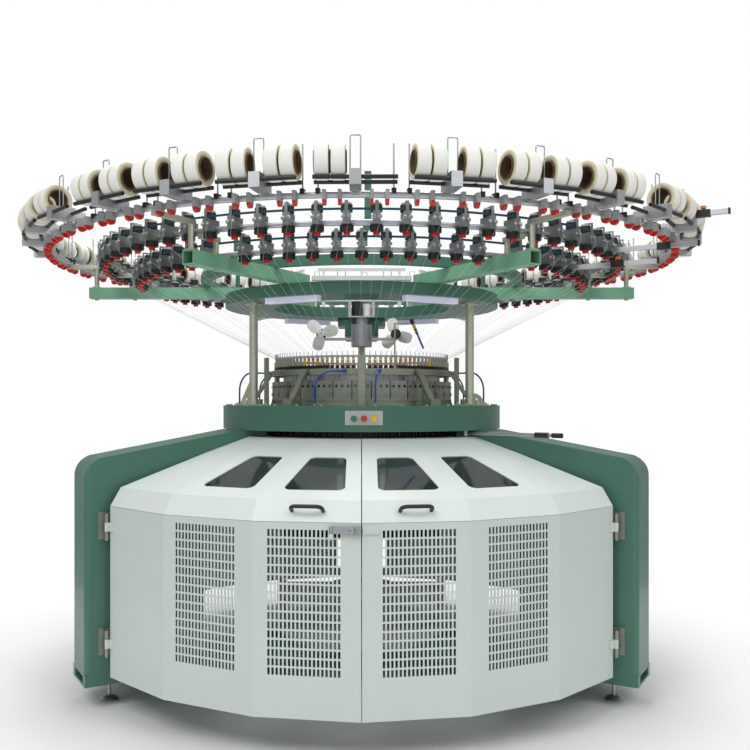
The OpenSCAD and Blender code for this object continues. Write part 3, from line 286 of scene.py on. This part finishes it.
# %% Plastics, yarn and rubber
painted("white_plastic", (0.92, 0.92, 0.91), (0.84, 0.84, 0.82), rough=0.3)
painted("fan_white", (0.98, 0.98, 0.97), (0.94, 0.94, 0.92), rough=0.35)
painted("grey_plastic", (0.70, 0.71, 0.71), (0.58, 0.59, 0.60), rough=0.45)
painted("black_plastic", (0.075, 0.075, 0.08), (0.13, 0.13, 0.14), rough=0.4, amount=0.5)
painted("orange_plastic", (0.93, 0.47, 0.08), (0.80, 0.36, 0.05), rough=0.25)
painted("red_plastic", (0.83, 0.13, 0.08), (0.66, 0.07, 0.05), rough=0.25)
painted("green_plastic", (0.08, 0.52, 0.30), (0.05, 0.40, 0.22), rough=0.22)
painted("yellow_plastic", (0.92, 0.78, 0.12), (0.80, 0.62, 0.06), rough=0.22)
painted("tan_plastic", (0.76, 0.64, 0.46), (0.62, 0.50, 0.33), rough=0.4)
painted("brown_card", (0.42, 0.33, 0.23), (0.30, 0.23, 0.16), rough=0.75, coat=0.0)
painted("belt_rubber", (0.05, 0.24, 0.31), (0.03, 0.14, 0.20), rough=0.6, coat=0.0)
painted("black_rubber", (0.07, 0.07, 0.07), (0.14, 0.14, 0.13), rough=0.7, coat=0.0)
painted("blue_hose", (0.10, 0.33, 0.72), (0.06, 0.24, 0.58), rough=0.3)
painted("yarn_cotton", (0.95, 0.945, 0.92), (0.87, 0.86, 0.80), rough=0.85, coat=0.0, bump=0.4, grain=900.0)
print("finishes:", len(materials))

# %% [markdown]
# The windows are smoke-tinted clear sheet: mostly see-through, darkened, with a sharp reflection. The
# lamp bars glow softly behind a frosted cover, so they get a little emission of their own.

# %% Window and lamp cover
tinted = painted("tinted_glass", (0.36, 0.42, 0.43), (0.30, 0.36, 0.37), rough=0.04, spread=0.02, bump=0.0)
tinted.node_tree.nodes["Principled BSDF"].inputs["Transmission Weight"].default_value = 0.85
tinted.node_tree.nodes["Principled BSDF"].inputs["IOR"].default_value = 1.45
cover = painted("lamp_cover", (0.86, 0.85, 0.94), (0.80, 0.79, 0.90), rough=0.3)
cover.node_tree.nodes["Principled BSDF"].inputs["Emission Color"].default_value = (0.80, 0.78, 1.0, 1.0)
cover.node_tree.nodes["Principled BSDF"].inputs["Emission Strength"].default_value = 0.25

# %% [markdown]
# Each part in the frame names the slot it takes its finish from. Where the photograph shows a different
# metal or paint on a part, that part is listed here with its own finish.

# %% Give every part its finish
own_finish = {"columns": "column_steel", "feeder_bodies": "feeder_alloy", "guide_supports": "dark_steel",
              "cam_boxes": "cast_grey", "fan_left": "fan_white", "fan_right": "fan_white",
              "drive_gear": "black_gear", "guide_ring": "dark_steel", "cam_base_ring": "dark_steel",
              "creel_posts": "column_steel", "fan_carrier": "bright_steel", "bridge_arm": "machine_green",
              "hinge_brackets": "cast_grey"}
slot_of = {entry["node"]: entry["material_slot"] for entry in frame["record"]["subparts"]}
for name, part in nodes.items():
    chosen = materials[own_finish.get(name, slot_of[name])]
    part.data.materials.clear()
    part.data.materials.append(chosen)
print("parts finished:", len(nodes))

# %% [markdown]
# A few parts hold more than one finish: a guide has a black foot, a tan eyelet and a bright hook, and the
# lever has a black grip. Their faces are given a second finish by where they lie.

# %% Parts with more than one finish
def paint_where(part_name, finish_name, test):
    """Gives the faces of a part whose middle point passes the test another finish."""
    mesh = nodes[part_name].data
    mesh.materials.append(materials[finish_name])
    index = len(mesh.materials) - 1
    count = 0
    for face in mesh.polygons:
        if test(face.center):
            face.material_index = index
            count += 1
    print(part_name, finish_name, count)


def from_axis(p):
    """Distance from the machine's axis."""
    return math.hypot(p.x, p.y)


def turn_of(p):
    """Angle of a point about the machine's axis, from the front."""
    return math.atan2(p.x, -p.y)


EYELET_Z = 1.600
RAIL_Z = 1.640
RAIL_H = 0.012
FOOT_LIP = 0.012
GUIDE_HALF_WIDTH = 0.024
paint_where("yarn_guides", "black_plastic", lambda p: p.z < EYELET_Z)
paint_where("yarn_guides", "grey_paint", lambda p: RAIL_Z <= p.z < RAIL_Z + RAIL_H)
paint_where("yarn_guides", "bright_steel", lambda p: p.z >= RAIL_Z + RAIL_H)
TAN_HALF_WIDTH = math.radians(38)
YELLOW_GUIDES = (math.radians(-38.33), math.radians(48.33))
paint_where("yarn_guides", "yellow_plastic", lambda p: EYELET_Z <= p.z < RAIL_Z and any(
    abs(turn_of(p) - a) < GUIDE_HALF_WIDTH for a in YELLOW_GUIDES))
paint_where("yarn_guides", "grey_plastic", lambda p: EYELET_Z + FOOT_LIP <= p.z < RAIL_Z and
            abs(turn_of(p)) > TAN_HALF_WIDTH and all(
                abs(turn_of(p) - a) > GUIDE_HALF_WIDTH for a in YELLOW_GUIDES))
BRIDGE_TOP = 1.8785
CUP_FLOOR = BRIDGE_TOP + 0.009
paint_where("bridge_arm", "grey_paint", lambda p: p.z > BRIDGE_TOP and from_axis(p) < 0.12)
paint_where("bridge_arm", "bright_steel", lambda p: from_axis(p) < 0.032 and p.z < BRIDGE_TOP)
paint_where("bridge_arm", "black_plastic",
            lambda p: p.z > CUP_FLOOR and math.hypot(p.x + 0.026, p.y) < 0.0295)
paint_where("bridge_arm", "white_plastic",
            lambda p: p.z > CUP_FLOOR and math.hypot(p.x - 0.032, p.y) < 0.0235)
GRIP_START, GRIP_LENGTH, LEVER_TIP = 1.095, 0.08, 1.1895
paint_where("turning_lever", "black_plastic",
            lambda p: GRIP_START < from_axis(p) < GRIP_START + GRIP_LENGTH or from_axis(p) > LEVER_TIP)
RAIL_ENDS = ((1.895, 2.264), (1.763, 2.137), (1.600, 2.060))
FAN_X = (-0.222, 0.189)
FAN_Z = 1.790
FAN_MOTOR_R = 0.0285
FITTING_TOP = BED_TOP + 0.0125
PANEL_FACE_Y = -0.7585
LAMP_FOOT_Z = 1.8965
WIRE_FOOT_Z = 2.2065
for place in ("outer", "middle", "inner"):
    low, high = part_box("tensioner_carriage_" + place)
    paint_where("tensioner_carriage_" + place, "orange_plastic", lambda p: p.z > high.z - 0.0125)
paint_where("tensioner_rails", "black_plastic", lambda p: any(
    from_axis(p) > end - 0.0005 and abs(p.z - z) < 0.02 for end, z in RAIL_ENDS))
paint_where("head_hoses", "bright_steel", lambda p: p.z < FITTING_TOP)
paint_where("button_panel", "bright_steel", lambda p: p.y < PANEL_FACE_Y)
paint_where("work_lights", "grey_paint", lambda p: p.z < LAMP_FOOT_Z)
paint_where("guard_wires", "black_plastic", lambda p: p.z < WIRE_FOOT_Z)
paint_where("feed_wheels", "grey_plastic", lambda p: any(
    0.0655 < p.z - z < 0.075 and abs(from_axis(p) - r) < 0.06 for r, z in zip(RING_R[1:], RING_Z[1:])))
paint_where("fan_carrier", "black_plastic", lambda p: min(
    math.hypot(p.x - x, p.z - FAN_Z) for x in FAN_X) < FAN_MOTOR_R and abs(p.y) < 0.0265)

# %% [markdown]
# The stage is a round pale floor whose rim glows as white as the backdrop, so no edge shows, while its
# middle still takes the machine's shadow. The background is full white where it is seen directly or through
# glass, and lights the machine at less than half that, so the metal keeps its tone.

# %% Floor and background
floor_mesh = bpy.data.meshes.new("floor")
FLOOR_R = 3.4
FADE_START, FADE_END = 1.5, 2.6
turns = [math.radians(5 * k) for k in range(72)]
rim = [(FLOOR_R * math.cos(a), FLOOR_R * math.sin(a), 0) for a in turns]
floor_mesh.from_pydata(rim, [], [tuple(range(72))])
floor = bpy.data.objects.new("floor", floor_mesh)
bpy.context.scene.collection.objects.link(floor)
floor_look = bpy.data.materials.new("pale_floor")
floor_look.use_nodes = True
floor_net = floor_look.node_tree
floor_shader = floor_net.nodes["Principled BSDF"]
floor_shader.inputs["Base Color"].default_value = (0.95, 0.95, 0.95, 1.0)
floor_shader.inputs["Roughness"].default_value = 0.9
floor_spot = floor_net.nodes.new("ShaderNodeTexCoord").outputs["Object"]
floor_length = floor_net.nodes.new("ShaderNodeVectorMath")
floor_length.operation = "LENGTH"
floor_net.links.new(floor_spot, floor_length.inputs[0])
fade = floor_net.nodes.new("ShaderNodeMapRange")
fade.interpolation_type = "SMOOTHSTEP"
fade.inputs["From Min"].default_value = FADE_START
fade.inputs["From Max"].default_value = FADE_END
floor_net.links.new(floor_length.outputs["Value"], fade.inputs["Value"])
glow = floor_net.nodes.new("ShaderNodeEmission")
glow.inputs["Color"].default_value = (1.0, 1.0, 1.0, 1.0)
blend = floor_net.nodes.new("ShaderNodeMixShader")
floor_net.links.new(fade.outputs["Result"], blend.inputs[0])
floor_net.links.new(floor_shader.outputs[0], blend.inputs[1])
floor_net.links.new(glow.outputs[0], blend.inputs[2])
floor_net.links.new(blend.outputs[0], floor_net.nodes["Material Output"].inputs["Surface"])
floor_mesh.materials.append(floor_look)

world = bpy.data.worlds.new("studio")
bpy.context.scene.world = world
world.use_nodes = True
sky = world.node_tree
backdrop = sky.nodes["Background"]
backdrop.inputs["Color"].default_value = (1.0, 1.0, 1.0, 1.0)
paths = sky.nodes.new("ShaderNodeLightPath")
seen = math_node(sky, "MAXIMUM", paths.outputs["Is Camera Ray"], paths.outputs["Is Transmission Ray"])
AMBIENT = 0.40
extra = math_node(sky, "MULTIPLY", seen, 1.0 - AMBIENT)
sky.links.new(math_node(sky, "ADD", extra, AMBIENT), backdrop.inputs["Strength"])
bpy.context.scene.view_settings.view_transform = "Standard"

# %% [markdown]
# Three large soft lamps: one high in front and to the left as the main light, one on the right to open
# the shadows, and one above and behind to draw the rims of the rings.

# %% Lamps
def soft_lamp(name, place, target, size, power):
    """A square area lamp turned to a target."""
    data = bpy.data.lights.new(name, "AREA")
    data.size = size
    data.energy = power
    lamp = bpy.data.objects.new(name, data)
    lamp.location = place
    lamp.rotation_euler = (Vector(target) - Vector(place)).to_track_quat("-Z", "Y").to_euler()
    bpy.context.scene.collection.objects.link(lamp)


soft_lamp("main_lamp", (-3.0, -5.0, 6.0), (0, 0, 1.2), 3.5, 170)
soft_lamp("fill_lamp", (3.6, -4.6, 5.2), (0, 0, 1.2), 3.5, 110)
soft_lamp("low_lamp", (0.0, -5.5, 0.8), (0, 0, 1.8), 3.0, 14)
soft_lamp("top_lamp", (0.0, 1.5, 6.0), (0, 0, 1.5), 4.0, 220)
print("lamps:", len(bpy.data.lights))

# %% [markdown]
# Most of what is added here repeats round the machine, so one small tree of Geometry Nodes does it:
# it takes a list of points, each with a turn about Z, and sets a copy of a small mesh on each. The copies
# are made real and given their finish, and the result is kept as a plain mesh.

# %% Place copies with geometry nodes
def copies_tree(name):
    """Geometry Nodes: an instance of an object on every point, turned by the point's own angle."""
    tree = bpy.data.node_groups.new(name, "GeometryNodeTree")
    tree.interface.new_socket("Geometry", in_out="INPUT", socket_type="NodeSocketGeometry")
    tree.interface.new_socket("Piece", in_out="INPUT", socket_type="NodeSocketObject")
    tree.interface.new_socket("Finish", in_out="INPUT", socket_type="NodeSocketMaterial")
    tree.interface.new_socket("Geometry", in_out="OUTPUT", socket_type="NodeSocketGeometry")
    add = tree.nodes.new
    link = tree.links.new
    given, made = add("NodeGroupInput"), add("NodeGroupOutput")
    to_points = add("GeometryNodeMeshToPoints")
    place = add("GeometryNodeInstanceOnPoints")
    info = add("GeometryNodeObjectInfo")
    turn = add("GeometryNodeInputNamedAttribute")
    turn.data_type = "FLOAT_VECTOR"
    turn.inputs["Name"].default_value = "turn"
    euler = add("FunctionNodeEulerToRotation")
    real, paint = add("GeometryNodeRealizeInstances"), add("GeometryNodeSetMaterial")
    link(given.outputs["Geometry"], to_points.inputs["Mesh"])
    link(to_points.outputs["Points"], place.inputs["Points"])
    link(given.outputs["Piece"], info.inputs["Object"])
    link(info.outputs["Geometry"], place.inputs["Instance"])
    link(turn.outputs["Attribute"], euler.inputs[0])
    link(euler.outputs[0], place.inputs["Rotation"])
    link(place.outputs["Instances"], real.inputs["Geometry"])
    link(real.outputs["Geometry"], paint.inputs["Geometry"])
    link(given.outputs["Finish"], paint.inputs["Material"])
    link(paint.outputs["Geometry"], made.inputs["Geometry"])
    return tree


def socket_id(tree, label):
    """The identifier by which a modifier knows a tree's named input."""
    for item in tree.interface.items_tree:
        if item.item_type == "SOCKET" and item.in_out == "INPUT" and item.name == label:
            return item.identifier
    raise KeyError(label)


copies = copies_tree("copies_on_points")


def set_round(name, piece, places, finish_name, body="machine"):
    """Copies of a small mesh at (point, turn about Z) places, as one plain mesh that rides on a body."""
    carrier_mesh = bpy.data.meshes.new(name + "_places")
    carrier_mesh.from_pydata([tuple(p[0]) for p in places], [], [])
    turns = carrier_mesh.attributes.new("turn", "FLOAT_VECTOR", "POINT")
    for spot, place in zip(turns.data, places):
        spot.vector = (0.0, 0.0, place[1])
    carrier = bpy.data.objects.new(name + "_places", carrier_mesh)
    bpy.context.scene.collection.objects.link(carrier)
    modifier = carrier.modifiers.new("copies", "NODES")
    modifier.node_group = copies
    modifier[socket_id(copies, "Piece")] = piece
    modifier[socket_id(copies, "Finish")] = materials[finish_name]
    bpy.context.view_layer.update()
    seen_now = carrier.evaluated_get(bpy.context.evaluated_depsgraph_get())
    mesh = bpy.data.meshes.new_from_object(seen_now, depsgraph=bpy.context.evaluated_depsgraph_get())
    result = bpy.data.objects.new(name, mesh)
    bpy.context.scene.collection.objects.link(result)
    bpy.data.objects.remove(carrier)
    bpy.data.objects.remove(piece)
    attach(result, body)
    print(name, "copies:", len(places), "faces:", len(mesh.polygons))
    return result


def piece_from(name, build):
    """A small helper object whose mesh a function builds in bmesh."""
    bm = bmesh.new()
    build(bm)
    bmesh.ops.remove_doubles(bm, verts=bm.verts, dist=1e-6)
    bmesh.ops.recalc_face_normals(bm, faces=bm.faces)
    mesh = bpy.data.meshes.new(name)
    bm.to_mesh(mesh)
    bm.free()
    piece = bpy.data.objects.new(name, mesh)
    bpy.context.scene.collection.objects.link(piece)
    return piece


def lathe(bm, profile, steps, axis="Z"):
    """A closed turned shape from (radius, height) points, about Z or, laid down, about X."""
    rings = []
    for k in range(steps):
        a = 2 * math.pi * k / steps
        ring = []
        for radius, height in profile:
            x, y, z = radius * math.cos(a), radius * math.sin(a), height
            ring.append(bm.verts.new((x, y, z) if axis == "Z" else (z, x, y)))
        rings.append(ring)
    count = len(profile)
    for k in range(steps):
        for j in range(count):
            here, there = rings[k], rings[(k + 1) % steps]
            bm.faces.new((here[j], there[j], there[(j + 1) % count], here[(j + 1) % count]))


def box_into(bm, low, high):
    """A closed box between two corners."""
    made = bmesh.ops.create_cube(bm, size=1.0)["verts"]
    middle = [(a + b) / 2 for a, b in zip(low, high)]
    size = [b - a for a, b in zip(low, high)]
    for vert in made:
        vert.co = Vector([m + c * s for m, c, s in zip(middle, vert.co, size)])

# %% [markdown]
# A full bobbin is a flat drum of fine elastic yarn wound on a brown paper tube. Its crown is a little
# rounded and its sides are slightly dished and cream, with the tube's rim standing proud. The turned
# shape carries a number for how far across the drum each point is, and the finish draws the windings
# from it. The places are those of the solid bobbins, so each one rests on its two rollers.

# %% Bobbin finish
bobbin_look = painted("bobbin_yarn", (0.955, 0.955, 0.94), (0.90, 0.895, 0.86), rough=0.8, coat=0.0,
                      bump=0.15)
net = bobbin_look.node_tree
shader = net.nodes["Principled BSDF"]
across = net.nodes.new("ShaderNodeAttribute")
across.attribute_name = "across"
across.attribute_type = "GEOMETRY"
windings = math_node(net, "SINE", math_node(net, "MULTIPLY", across.outputs["Fac"], 160.0), 0.0)
bumper = [n for n in net.nodes if n.bl_idname == "ShaderNodeBump"][0]
bumper.inputs["Distance"].default_value = 0.0006
net.links.new(windings, bumper.inputs["Height"])
side_mask = net.nodes.new("ShaderNodeAttribute")
side_mask.attribute_name = "side_face"
side_mask.attribute_type = "GEOMETRY"
yarn_colour = shader.inputs["Base Color"].links[0].from_socket
cream_mix = net.nodes.new("ShaderNodeMix")
cream_mix.data_type = "RGBA"
cream_mix.inputs[7].default_value = linear((0.88, 0.86, 0.74))
net.links.new(side_mask.outputs["Fac"], cream_mix.inputs[0])
net.links.new(yarn_colour, cream_mix.inputs[6])
net.links.new(cream_mix.outputs[2], shader.inputs["Base Color"])

# %% Bobbin places
UNIT_PHASE = math.radians(-0.75)
UNIT_STEP = 2 * math.pi / UNIT_COUNT
BOBBIN_X = (0.061, 0.121)
EMPTY = {(0, 1), (26, 1), (9, -1), (15, 1), (20, -1), (4, -1)}
RISE = math.sqrt((BOBBIN_R + ROD_R) ** 2 - (ROD_GAP / 2) ** 2)
bobbin_places = []
for unit in range(UNIT_COUNT):
    for side in (-1, 1):
        if (unit, side) not in EMPTY:
            for offset in BOBBIN_X:
                angle = UNIT_PHASE + unit * UNIT_STEP
                bobbin_places.append((around(angle, UNIT_R, ROD_Z + RISE, side * offset), angle))
print("bobbins:", len(bobbin_places))

# %% Bobbin shape
def bobbin_shape(bm):
    """Half profile of the wound yarn: rounded crown, dished sides."""
    half = BOBBIN_W / 2
    crown = [(BOBBIN_R - 0.0035, -half + 0.0012), (BOBBIN_R - 0.0012, -half + 0.004),
             (BOBBIN_R, -half + 0.010),
             (BOBBIN_R, half - 0.010), (BOBBIN_R - 0.0012, half - 0.004), (BOBBIN_R - 0.0035, half - 0.0012)]
    inner = [(BOBBIN_CORE_R + 0.001, half - 0.003), (BOBBIN_CORE_R + 0.001, -half + 0.003)]
    lathe(bm, crown + inner, 40, axis="X")


bobbin_piece = piece_from("bobbin", bobbin_shape)
across_data = bobbin_piece.data.attributes.new("across", "FLOAT", "POINT")
side_data = bobbin_piece.data.attributes.new("side_face", "FLOAT", "POINT")
for spot, shade, vert in zip(across_data.data, side_data.data, bobbin_piece.data.vertices):
    spot.value = vert.co.x / BOBBIN_W
    shade.value = 1.0 if abs(vert.co.x) > BOBBIN_W / 2 - 0.0035 else 0.0
materials["bobbin_yarn"] = bobbin_look
bobbins = set_round("bobbin_windings", bobbin_piece, bobbin_places, "bobbin_yarn")
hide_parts("bobbins")
for face in bobbins.data.polygons:
    face.use_smooth = True

# %% [markdown]
# The storage feeders stand on the two inner rings. The inner row leaves out the places over the arms.

# %% Feeder places
ARM_CLEAR = math.radians(2)
feeder_rows = {1: [], 2: []}
for row in (1, 2):
    for i in range(FEEDERS_A_RING):
        angle = (i + (0.5 if row == 1 else 0.0)) * 2 * math.pi / FEEDERS_A_RING
        apart = min(abs(math.remainder(angle - arm, 2 * math.pi)) for arm in ARM_ANGLES)
        if row == 1 or apart > ARM_CLEAR:
            feeder_rows[row].append(angle)
feeder_places = [(a, RING_R[row], RING_Z[row]) for row in (1, 2) for a in feeder_rows[row]]
print("feeders:", len(feeder_places))

# %% [markdown]
# From its feeder a white yarn runs down and in to each guide above the cylinder. The yarns are taut, so
# each is a straight thin thread. None is drawn where a column stands in the way.

# %% Yarns from the feeders to the guides
YARN_R = 0.00042
COLUMN_CLEAR = math.radians(4)
OUTLET_DROP = 0.054
EYELET_RISE = 0.066
COLUMN_ANGLES = [math.radians(a) for a in (-60, 60, 180)]


def thread(bm, a, b, radius, sides=4):
    """A thin closed rod between two points."""
    direction = (b - a).normalized()
    across_dir = direction.orthogonal().normalized()
    other = direction.cross(across_dir)
    ends = []
    for point in (a, b):
        ends.append([bm.verts.new(point + radius * (math.cos(t) * across_dir + math.sin(t) * other))
                     for t in [2 * math.pi * k / sides for k in range(sides)]])
    for k in range(sides):
        bm.faces.new((ends[0][k], ends[0][(k + 1) % sides], ends[1][(k + 1) % sides], ends[1][k]))
    bm.faces.new(ends[0][::-1])
    bm.faces.new(ends[1])


def mesh_piece(name, build, finish_name):
    """A finished piece at the origin from a bmesh function."""
    piece = piece_from(name, build)
    piece.data.materials.append(materials[finish_name])
    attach(piece, "machine")
    print(name, "faces:", len(piece.data.polygons))


def all_yarns(bm):
    """One straight thread from the nearest feeder of a row to each guide eyelet."""
    for i in range(GUIDE_COUNT):
        angle = (i + 0.5) * 2 * math.pi / GUIDE_COUNT
        if min(abs(math.remainder(angle - c, 2 * math.pi)) for c in COLUMN_ANGLES) < COLUMN_CLEAR:
            continue
        row = 1 + i % 2
        feeder = min(feeder_rows[row], key=lambda a: abs(math.remainder(a - angle, 2 * math.pi)))
        start = around(feeder, RING_R[row] + HEAD_OUT, RING_Z[row] - OUTLET_DROP)
        thread(bm, start, around(angle, GUIDE_R + 0.006, GUIDE_RING_TOP + EYELET_RISE), YARN_R)


mesh_piece("yarns", all_yarns, "yarn_cotton")

# %% [markdown]
# The needles stand in the slots of the cylinder with their hooks just above its rim. A short bent wire,
# repeated round the rim, is enough at this scale.

# %% Needles on the cylinder rim
NEEDLE_COUNT = 360
CYLINDER_TOP = 1.560


def needle_shape(bm):
    """Shank and small hook of one latch needle."""
    thread(bm, Vector((0, 0, -0.03)), Vector((0, 0, 0.012)), 0.0006)
    thread(bm, Vector((0, 0, 0.012)), Vector((0, -0.003, 0.014)), 0.0005)
    thread(bm, Vector((0, -0.003, 0.014)), Vector((0, -0.004, 0.010)), 0.0005)


needle_places = []
for i in range(NEEDLE_COUNT):
    angle = 2 * math.pi * i / NEEDLE_COUNT
    needle_places.append((around(angle, CYLINDER_R - 0.001, CYLINDER_TOP), angle))
set_round("needles", piece_from("needle", needle_shape), needle_places, "bright_steel", "rotor")

# %% [markdown]
# The hoods and panels are sheet metal held by small domed screws, which are not drawn here; the base ring
# and the bed ring carry socket screws. Each screw is a short turned shape with a hollow in its head, set on
# the surface it holds.

# %% Screws
def socket_screw(radius, height):
    """A function that builds a cap screw with a round socket in its head."""
    def build(bm):
        lathe(bm, [(0.0001, 0), (radius, 0), (radius, height * 0.8), (radius * 0.85, height),
                   (radius * 0.5, height), (radius * 0.5, height * 0.5), (0.0001, height * 0.5)], 12)
    return build


BASE_SCREW_COUNT, BASE_SCREW_RING_R, BASE_RING_TOP = 48, 0.4965, 1.405
BED_SCREW_COUNT, BED_SCREW_RING_R = 36, 0.735
NEAR_A_COLUMN = 0.12
base_ring_places = []
for i in range(BASE_SCREW_COUNT):
    angle = 2 * math.pi * (i + 0.5) / BASE_SCREW_COUNT
    base_ring_places.append((around(angle, BASE_SCREW_RING_R, BASE_RING_TOP), angle))
set_round("base_ring_screws", piece_from("screw", socket_screw(0.0035, 0.006)), base_ring_places,
          "bright_steel")
bed_places = []
for i in range(BED_SCREW_COUNT):
    angle = 2 * math.pi * (i + 0.5) / BED_SCREW_COUNT
    if all(abs(angle - a) > NEAR_A_COLUMN for a in (math.radians(60), math.radians(180), math.radians(300))):
        bed_places.append((around(angle, BED_SCREW_RING_R, BED_TOP), angle))
set_round("bed_screws", piece_from("screw", socket_screw(0.009, 0.007)), bed_places, "bright_steel")

# %% Cam box screws and number plates
def cam_plate(bm):
    """A small raised plate and two screw heads on the face of a cam box."""
    box_into(bm, (-0.036, -0.0016, -0.030), (0.036, 0.0, -0.012))
    for side in (-0.040, 0.040):
        thread(bm, Vector((side, 0.0, 0.018)), Vector((side, -0.003, 0.018)), 0.0042, 10)
        thread(bm, Vector((side, 0.0, -0.022)), Vector((side, -0.003, -0.022)), 0.0042, 10)


CAM_COUNT = 32
CAM_MIDDLE_Z = 1.476
cam_places = []
for i in range(CAM_COUNT):
    angle = 2 * math.pi * i / CAM_COUNT
    cam_places.append((around(angle, CAM_R, CAM_MIDDLE_Z), angle))
set_round("cam_plates", piece_from("cam_plate", cam_plate), cam_places, "cast_grey")

# %% [markdown]
# The graduated ring under the cam boxes has fine marks all round it, engraved and filled dark.

# %% Marks on the graduated ring
def mark_shape(bm):
    """One engraved mark."""
    box_into(bm, (-0.0006, -0.0006, -0.006), (0.0006, 0.0, 0.006))


MARK_COUNT, MARK_RING_R, MARK_Z = 360, 0.4940, 1.418
mark_places = []
for i in range(MARK_COUNT):
    angle = 2 * math.pi * i / MARK_COUNT
    mark_places.append((around(angle, MARK_RING_R, MARK_Z), angle))
set_round("ring_marks", piece_from("mark", mark_shape), mark_places, "black_plastic")

# %% [markdown]
# The drive gear shows at the bed's edge as a dark toothed band with a dot of cream paint on every
# second tooth.

# %% Paint dots on the gear
def dot_shape(bm):
    """A round paint dot on the tip of a tooth."""
    thread(bm, Vector((0, 0, 0)), Vector((0, -0.0006, 0)), 0.0022, 8)


GEAR_TEETH, GEAR_TIP_R, GEAR_MIDDLE_Z = 200, 0.6060, 1.255
dot_places = []
for i in range(0, GEAR_TEETH, 2):
    angle = 2 * math.pi * i / GEAR_TEETH
    dot_places.append((around(angle, GEAR_TIP_R, GEAR_MIDDLE_Z), angle))
set_round("gear_dots", piece_from("dot", dot_shape), dot_places, "tan_plastic", "rotor")

# %% [markdown]
# Each storage feeder's lower wheel is a ribbed drum that the yarn wraps. Rods round the drum give it
# its ribbed look, and a chrome tension disc pair sits in front of the body.

# %% Ribbed feed drums
WHEEL_R = 0.026
RIB_COUNT, RIB_LOW, RIB_HIGH, RIB_R = 8, -0.0385, -0.0165, 0.0030


def drum_ribs(bm):
    """Eight upright rods round the drum."""
    for k in range(RIB_COUNT):
        a = 2 * math.pi * k / RIB_COUNT
        p = Vector((WHEEL_R * math.cos(a), WHEEL_R * math.sin(a), 0))
        thread(bm, p + Vector((0, 0, RIB_LOW)), p + Vector((0, 0, RIB_HIGH)), RIB_R, 4)


rib_places = [(around(a, r + HEAD_OUT, z), a) for a, r, z in feeder_places]
set_round("feed_drum_ribs", piece_from("ribs", drum_ribs), rib_places, "black_plastic")


def tension_discs(bm):
    """One chrome disc with a short pointed pin; two are set at each feeder."""
    profile = [(0.0001, 0.0), (0.0075, 0.001), (0.0095, 0.003), (0.004, 0.004), (0.0001, 0.010)]
    steps = 8
    rings = []
    for k in range(steps):
        a = 2 * math.pi * k / steps
        rings.append([bm.verts.new((r * math.cos(a), -h, r * math.sin(a))) for r, h in profile])
    for k in range(steps):
        for j in range(len(profile)):
            here, there = rings[k], rings[(k + 1) % steps]
            m = (j + 1) % len(profile)
            bm.faces.new((here[j], there[j], there[m], here[m]))


DISC_OUT, DISC_RISE, DISC_SIDE = 0.0581, 0.014, 0.012
disc_places = []
for a, r, z in feeder_places:
    for side in (-DISC_SIDE, DISC_SIDE):
        disc_places.append((around(a, r + DISC_OUT, z + DISC_RISE, side), a))
set_round("tension_discs", piece_from("discs", tension_discs), disc_places, "bright_steel")


def yarn_finger(bm):
    """A thin wire arm that leads the yarn in and out of the feeder."""
    path = [Vector(p) for p in ((0, -0.0585, 0.03), (0.010, -0.068, 0.020), (0.012, -0.068, -0.010),
                                (0.004, -0.062, -0.030), (0.0, -0.052, -0.045))]
    for a, b in zip(path, path[1:]):
        thread(bm, a, b, 0.0009, 5)


finger_places = [(around(a, r, z), a) for a, r, z in feeder_places]
set_round("yarn_fingers", piece_from("finger", yarn_finger), finger_places, "bright_steel")

# %% [markdown]
# An air nozzle hangs over the guides from a thin brass rod with a cross arm. The nozzle is a straight
# pen-like tube of a cap, a yellow and a green collar and a blue barrel, each a short turned length.

# %% Air nozzle on its rod
NOZZLE_ANGLE = math.radians(20)
NOZZLE_RING_R, NOZZLE_ROD_H, NOZZLE_ARM = 0.487, 0.227, 0.090
NOZZLE_FOOT = around(NOZZLE_ANGLE, NOZZLE_RING_R, GUIDE_RING_TOP)
ROD_TOP = NOZZLE_FOOT + Vector((0, 0, NOZZLE_ROD_H))
ARM_TIP = ROD_TOP + Vector((NOZZLE_ARM, 0, 0))
NOZZLE_WAY = Vector((0.39, 0, -0.92)).normalized()


def nozzle_rod(bm):
    """Foot, upright rod and cross arm."""
    thread(bm, NOZZLE_FOOT, NOZZLE_FOOT + Vector((0, 0, 0.012)), 0.009, 16)
    thread(bm, NOZZLE_FOOT, ROD_TOP, 0.0042, 12)
    thread(bm, ROD_TOP - Vector((0.006, 0, 0)), ARM_TIP, 0.0034, 12)
    thread(bm, ARM_TIP + Vector((0, -0.006, 0)), ARM_TIP + Vector((0, 0.006, 0)), 0.007, 12)


def nozzle_length(start, end, radius):
    """A function that builds one length of the nozzle, measured down from the arm's tip."""
    def build(bm):
        thread(bm, ARM_TIP + start * NOZZLE_WAY, ARM_TIP + end * NOZZLE_WAY, radius, 16)
    return build


mesh_piece("nozzle_rod", nozzle_rod, "brass_bit")
mesh_piece("nozzle_cap", nozzle_length(-0.022, 0.004, 0.0095), "black_plastic")
mesh_piece("nozzle_yellow_collar", nozzle_length(0.004, 0.030, 0.0080), "yellow_plastic")
mesh_piece("nozzle_green_collar", nozzle_length(0.030, 0.058, 0.0075), "green_plastic")
mesh_piece("nozzle_barrel", nozzle_length(0.058, 0.138, 0.0052), "blue_hose")

# %% [markdown]
# Each roller block is clamped to the outer ring tube by two small cap screws on top of its arm.

# %% Screws on the creel clamps
CLAMP_TOP, CLAMP_SIDE = 2.232, 0.008
clamp_places = []
for unit in range(UNIT_COUNT):
    angle = UNIT_PHASE + unit * UNIT_STEP
    for side in (-CLAMP_SIDE, CLAMP_SIDE):
        clamp_places.append((around(angle, RING_R[0], CLAMP_TOP, side), angle))
set_round("clamp_screws", piece_from("screw", socket_screw(0.0038, 0.004)), clamp_places, "bright_steel")
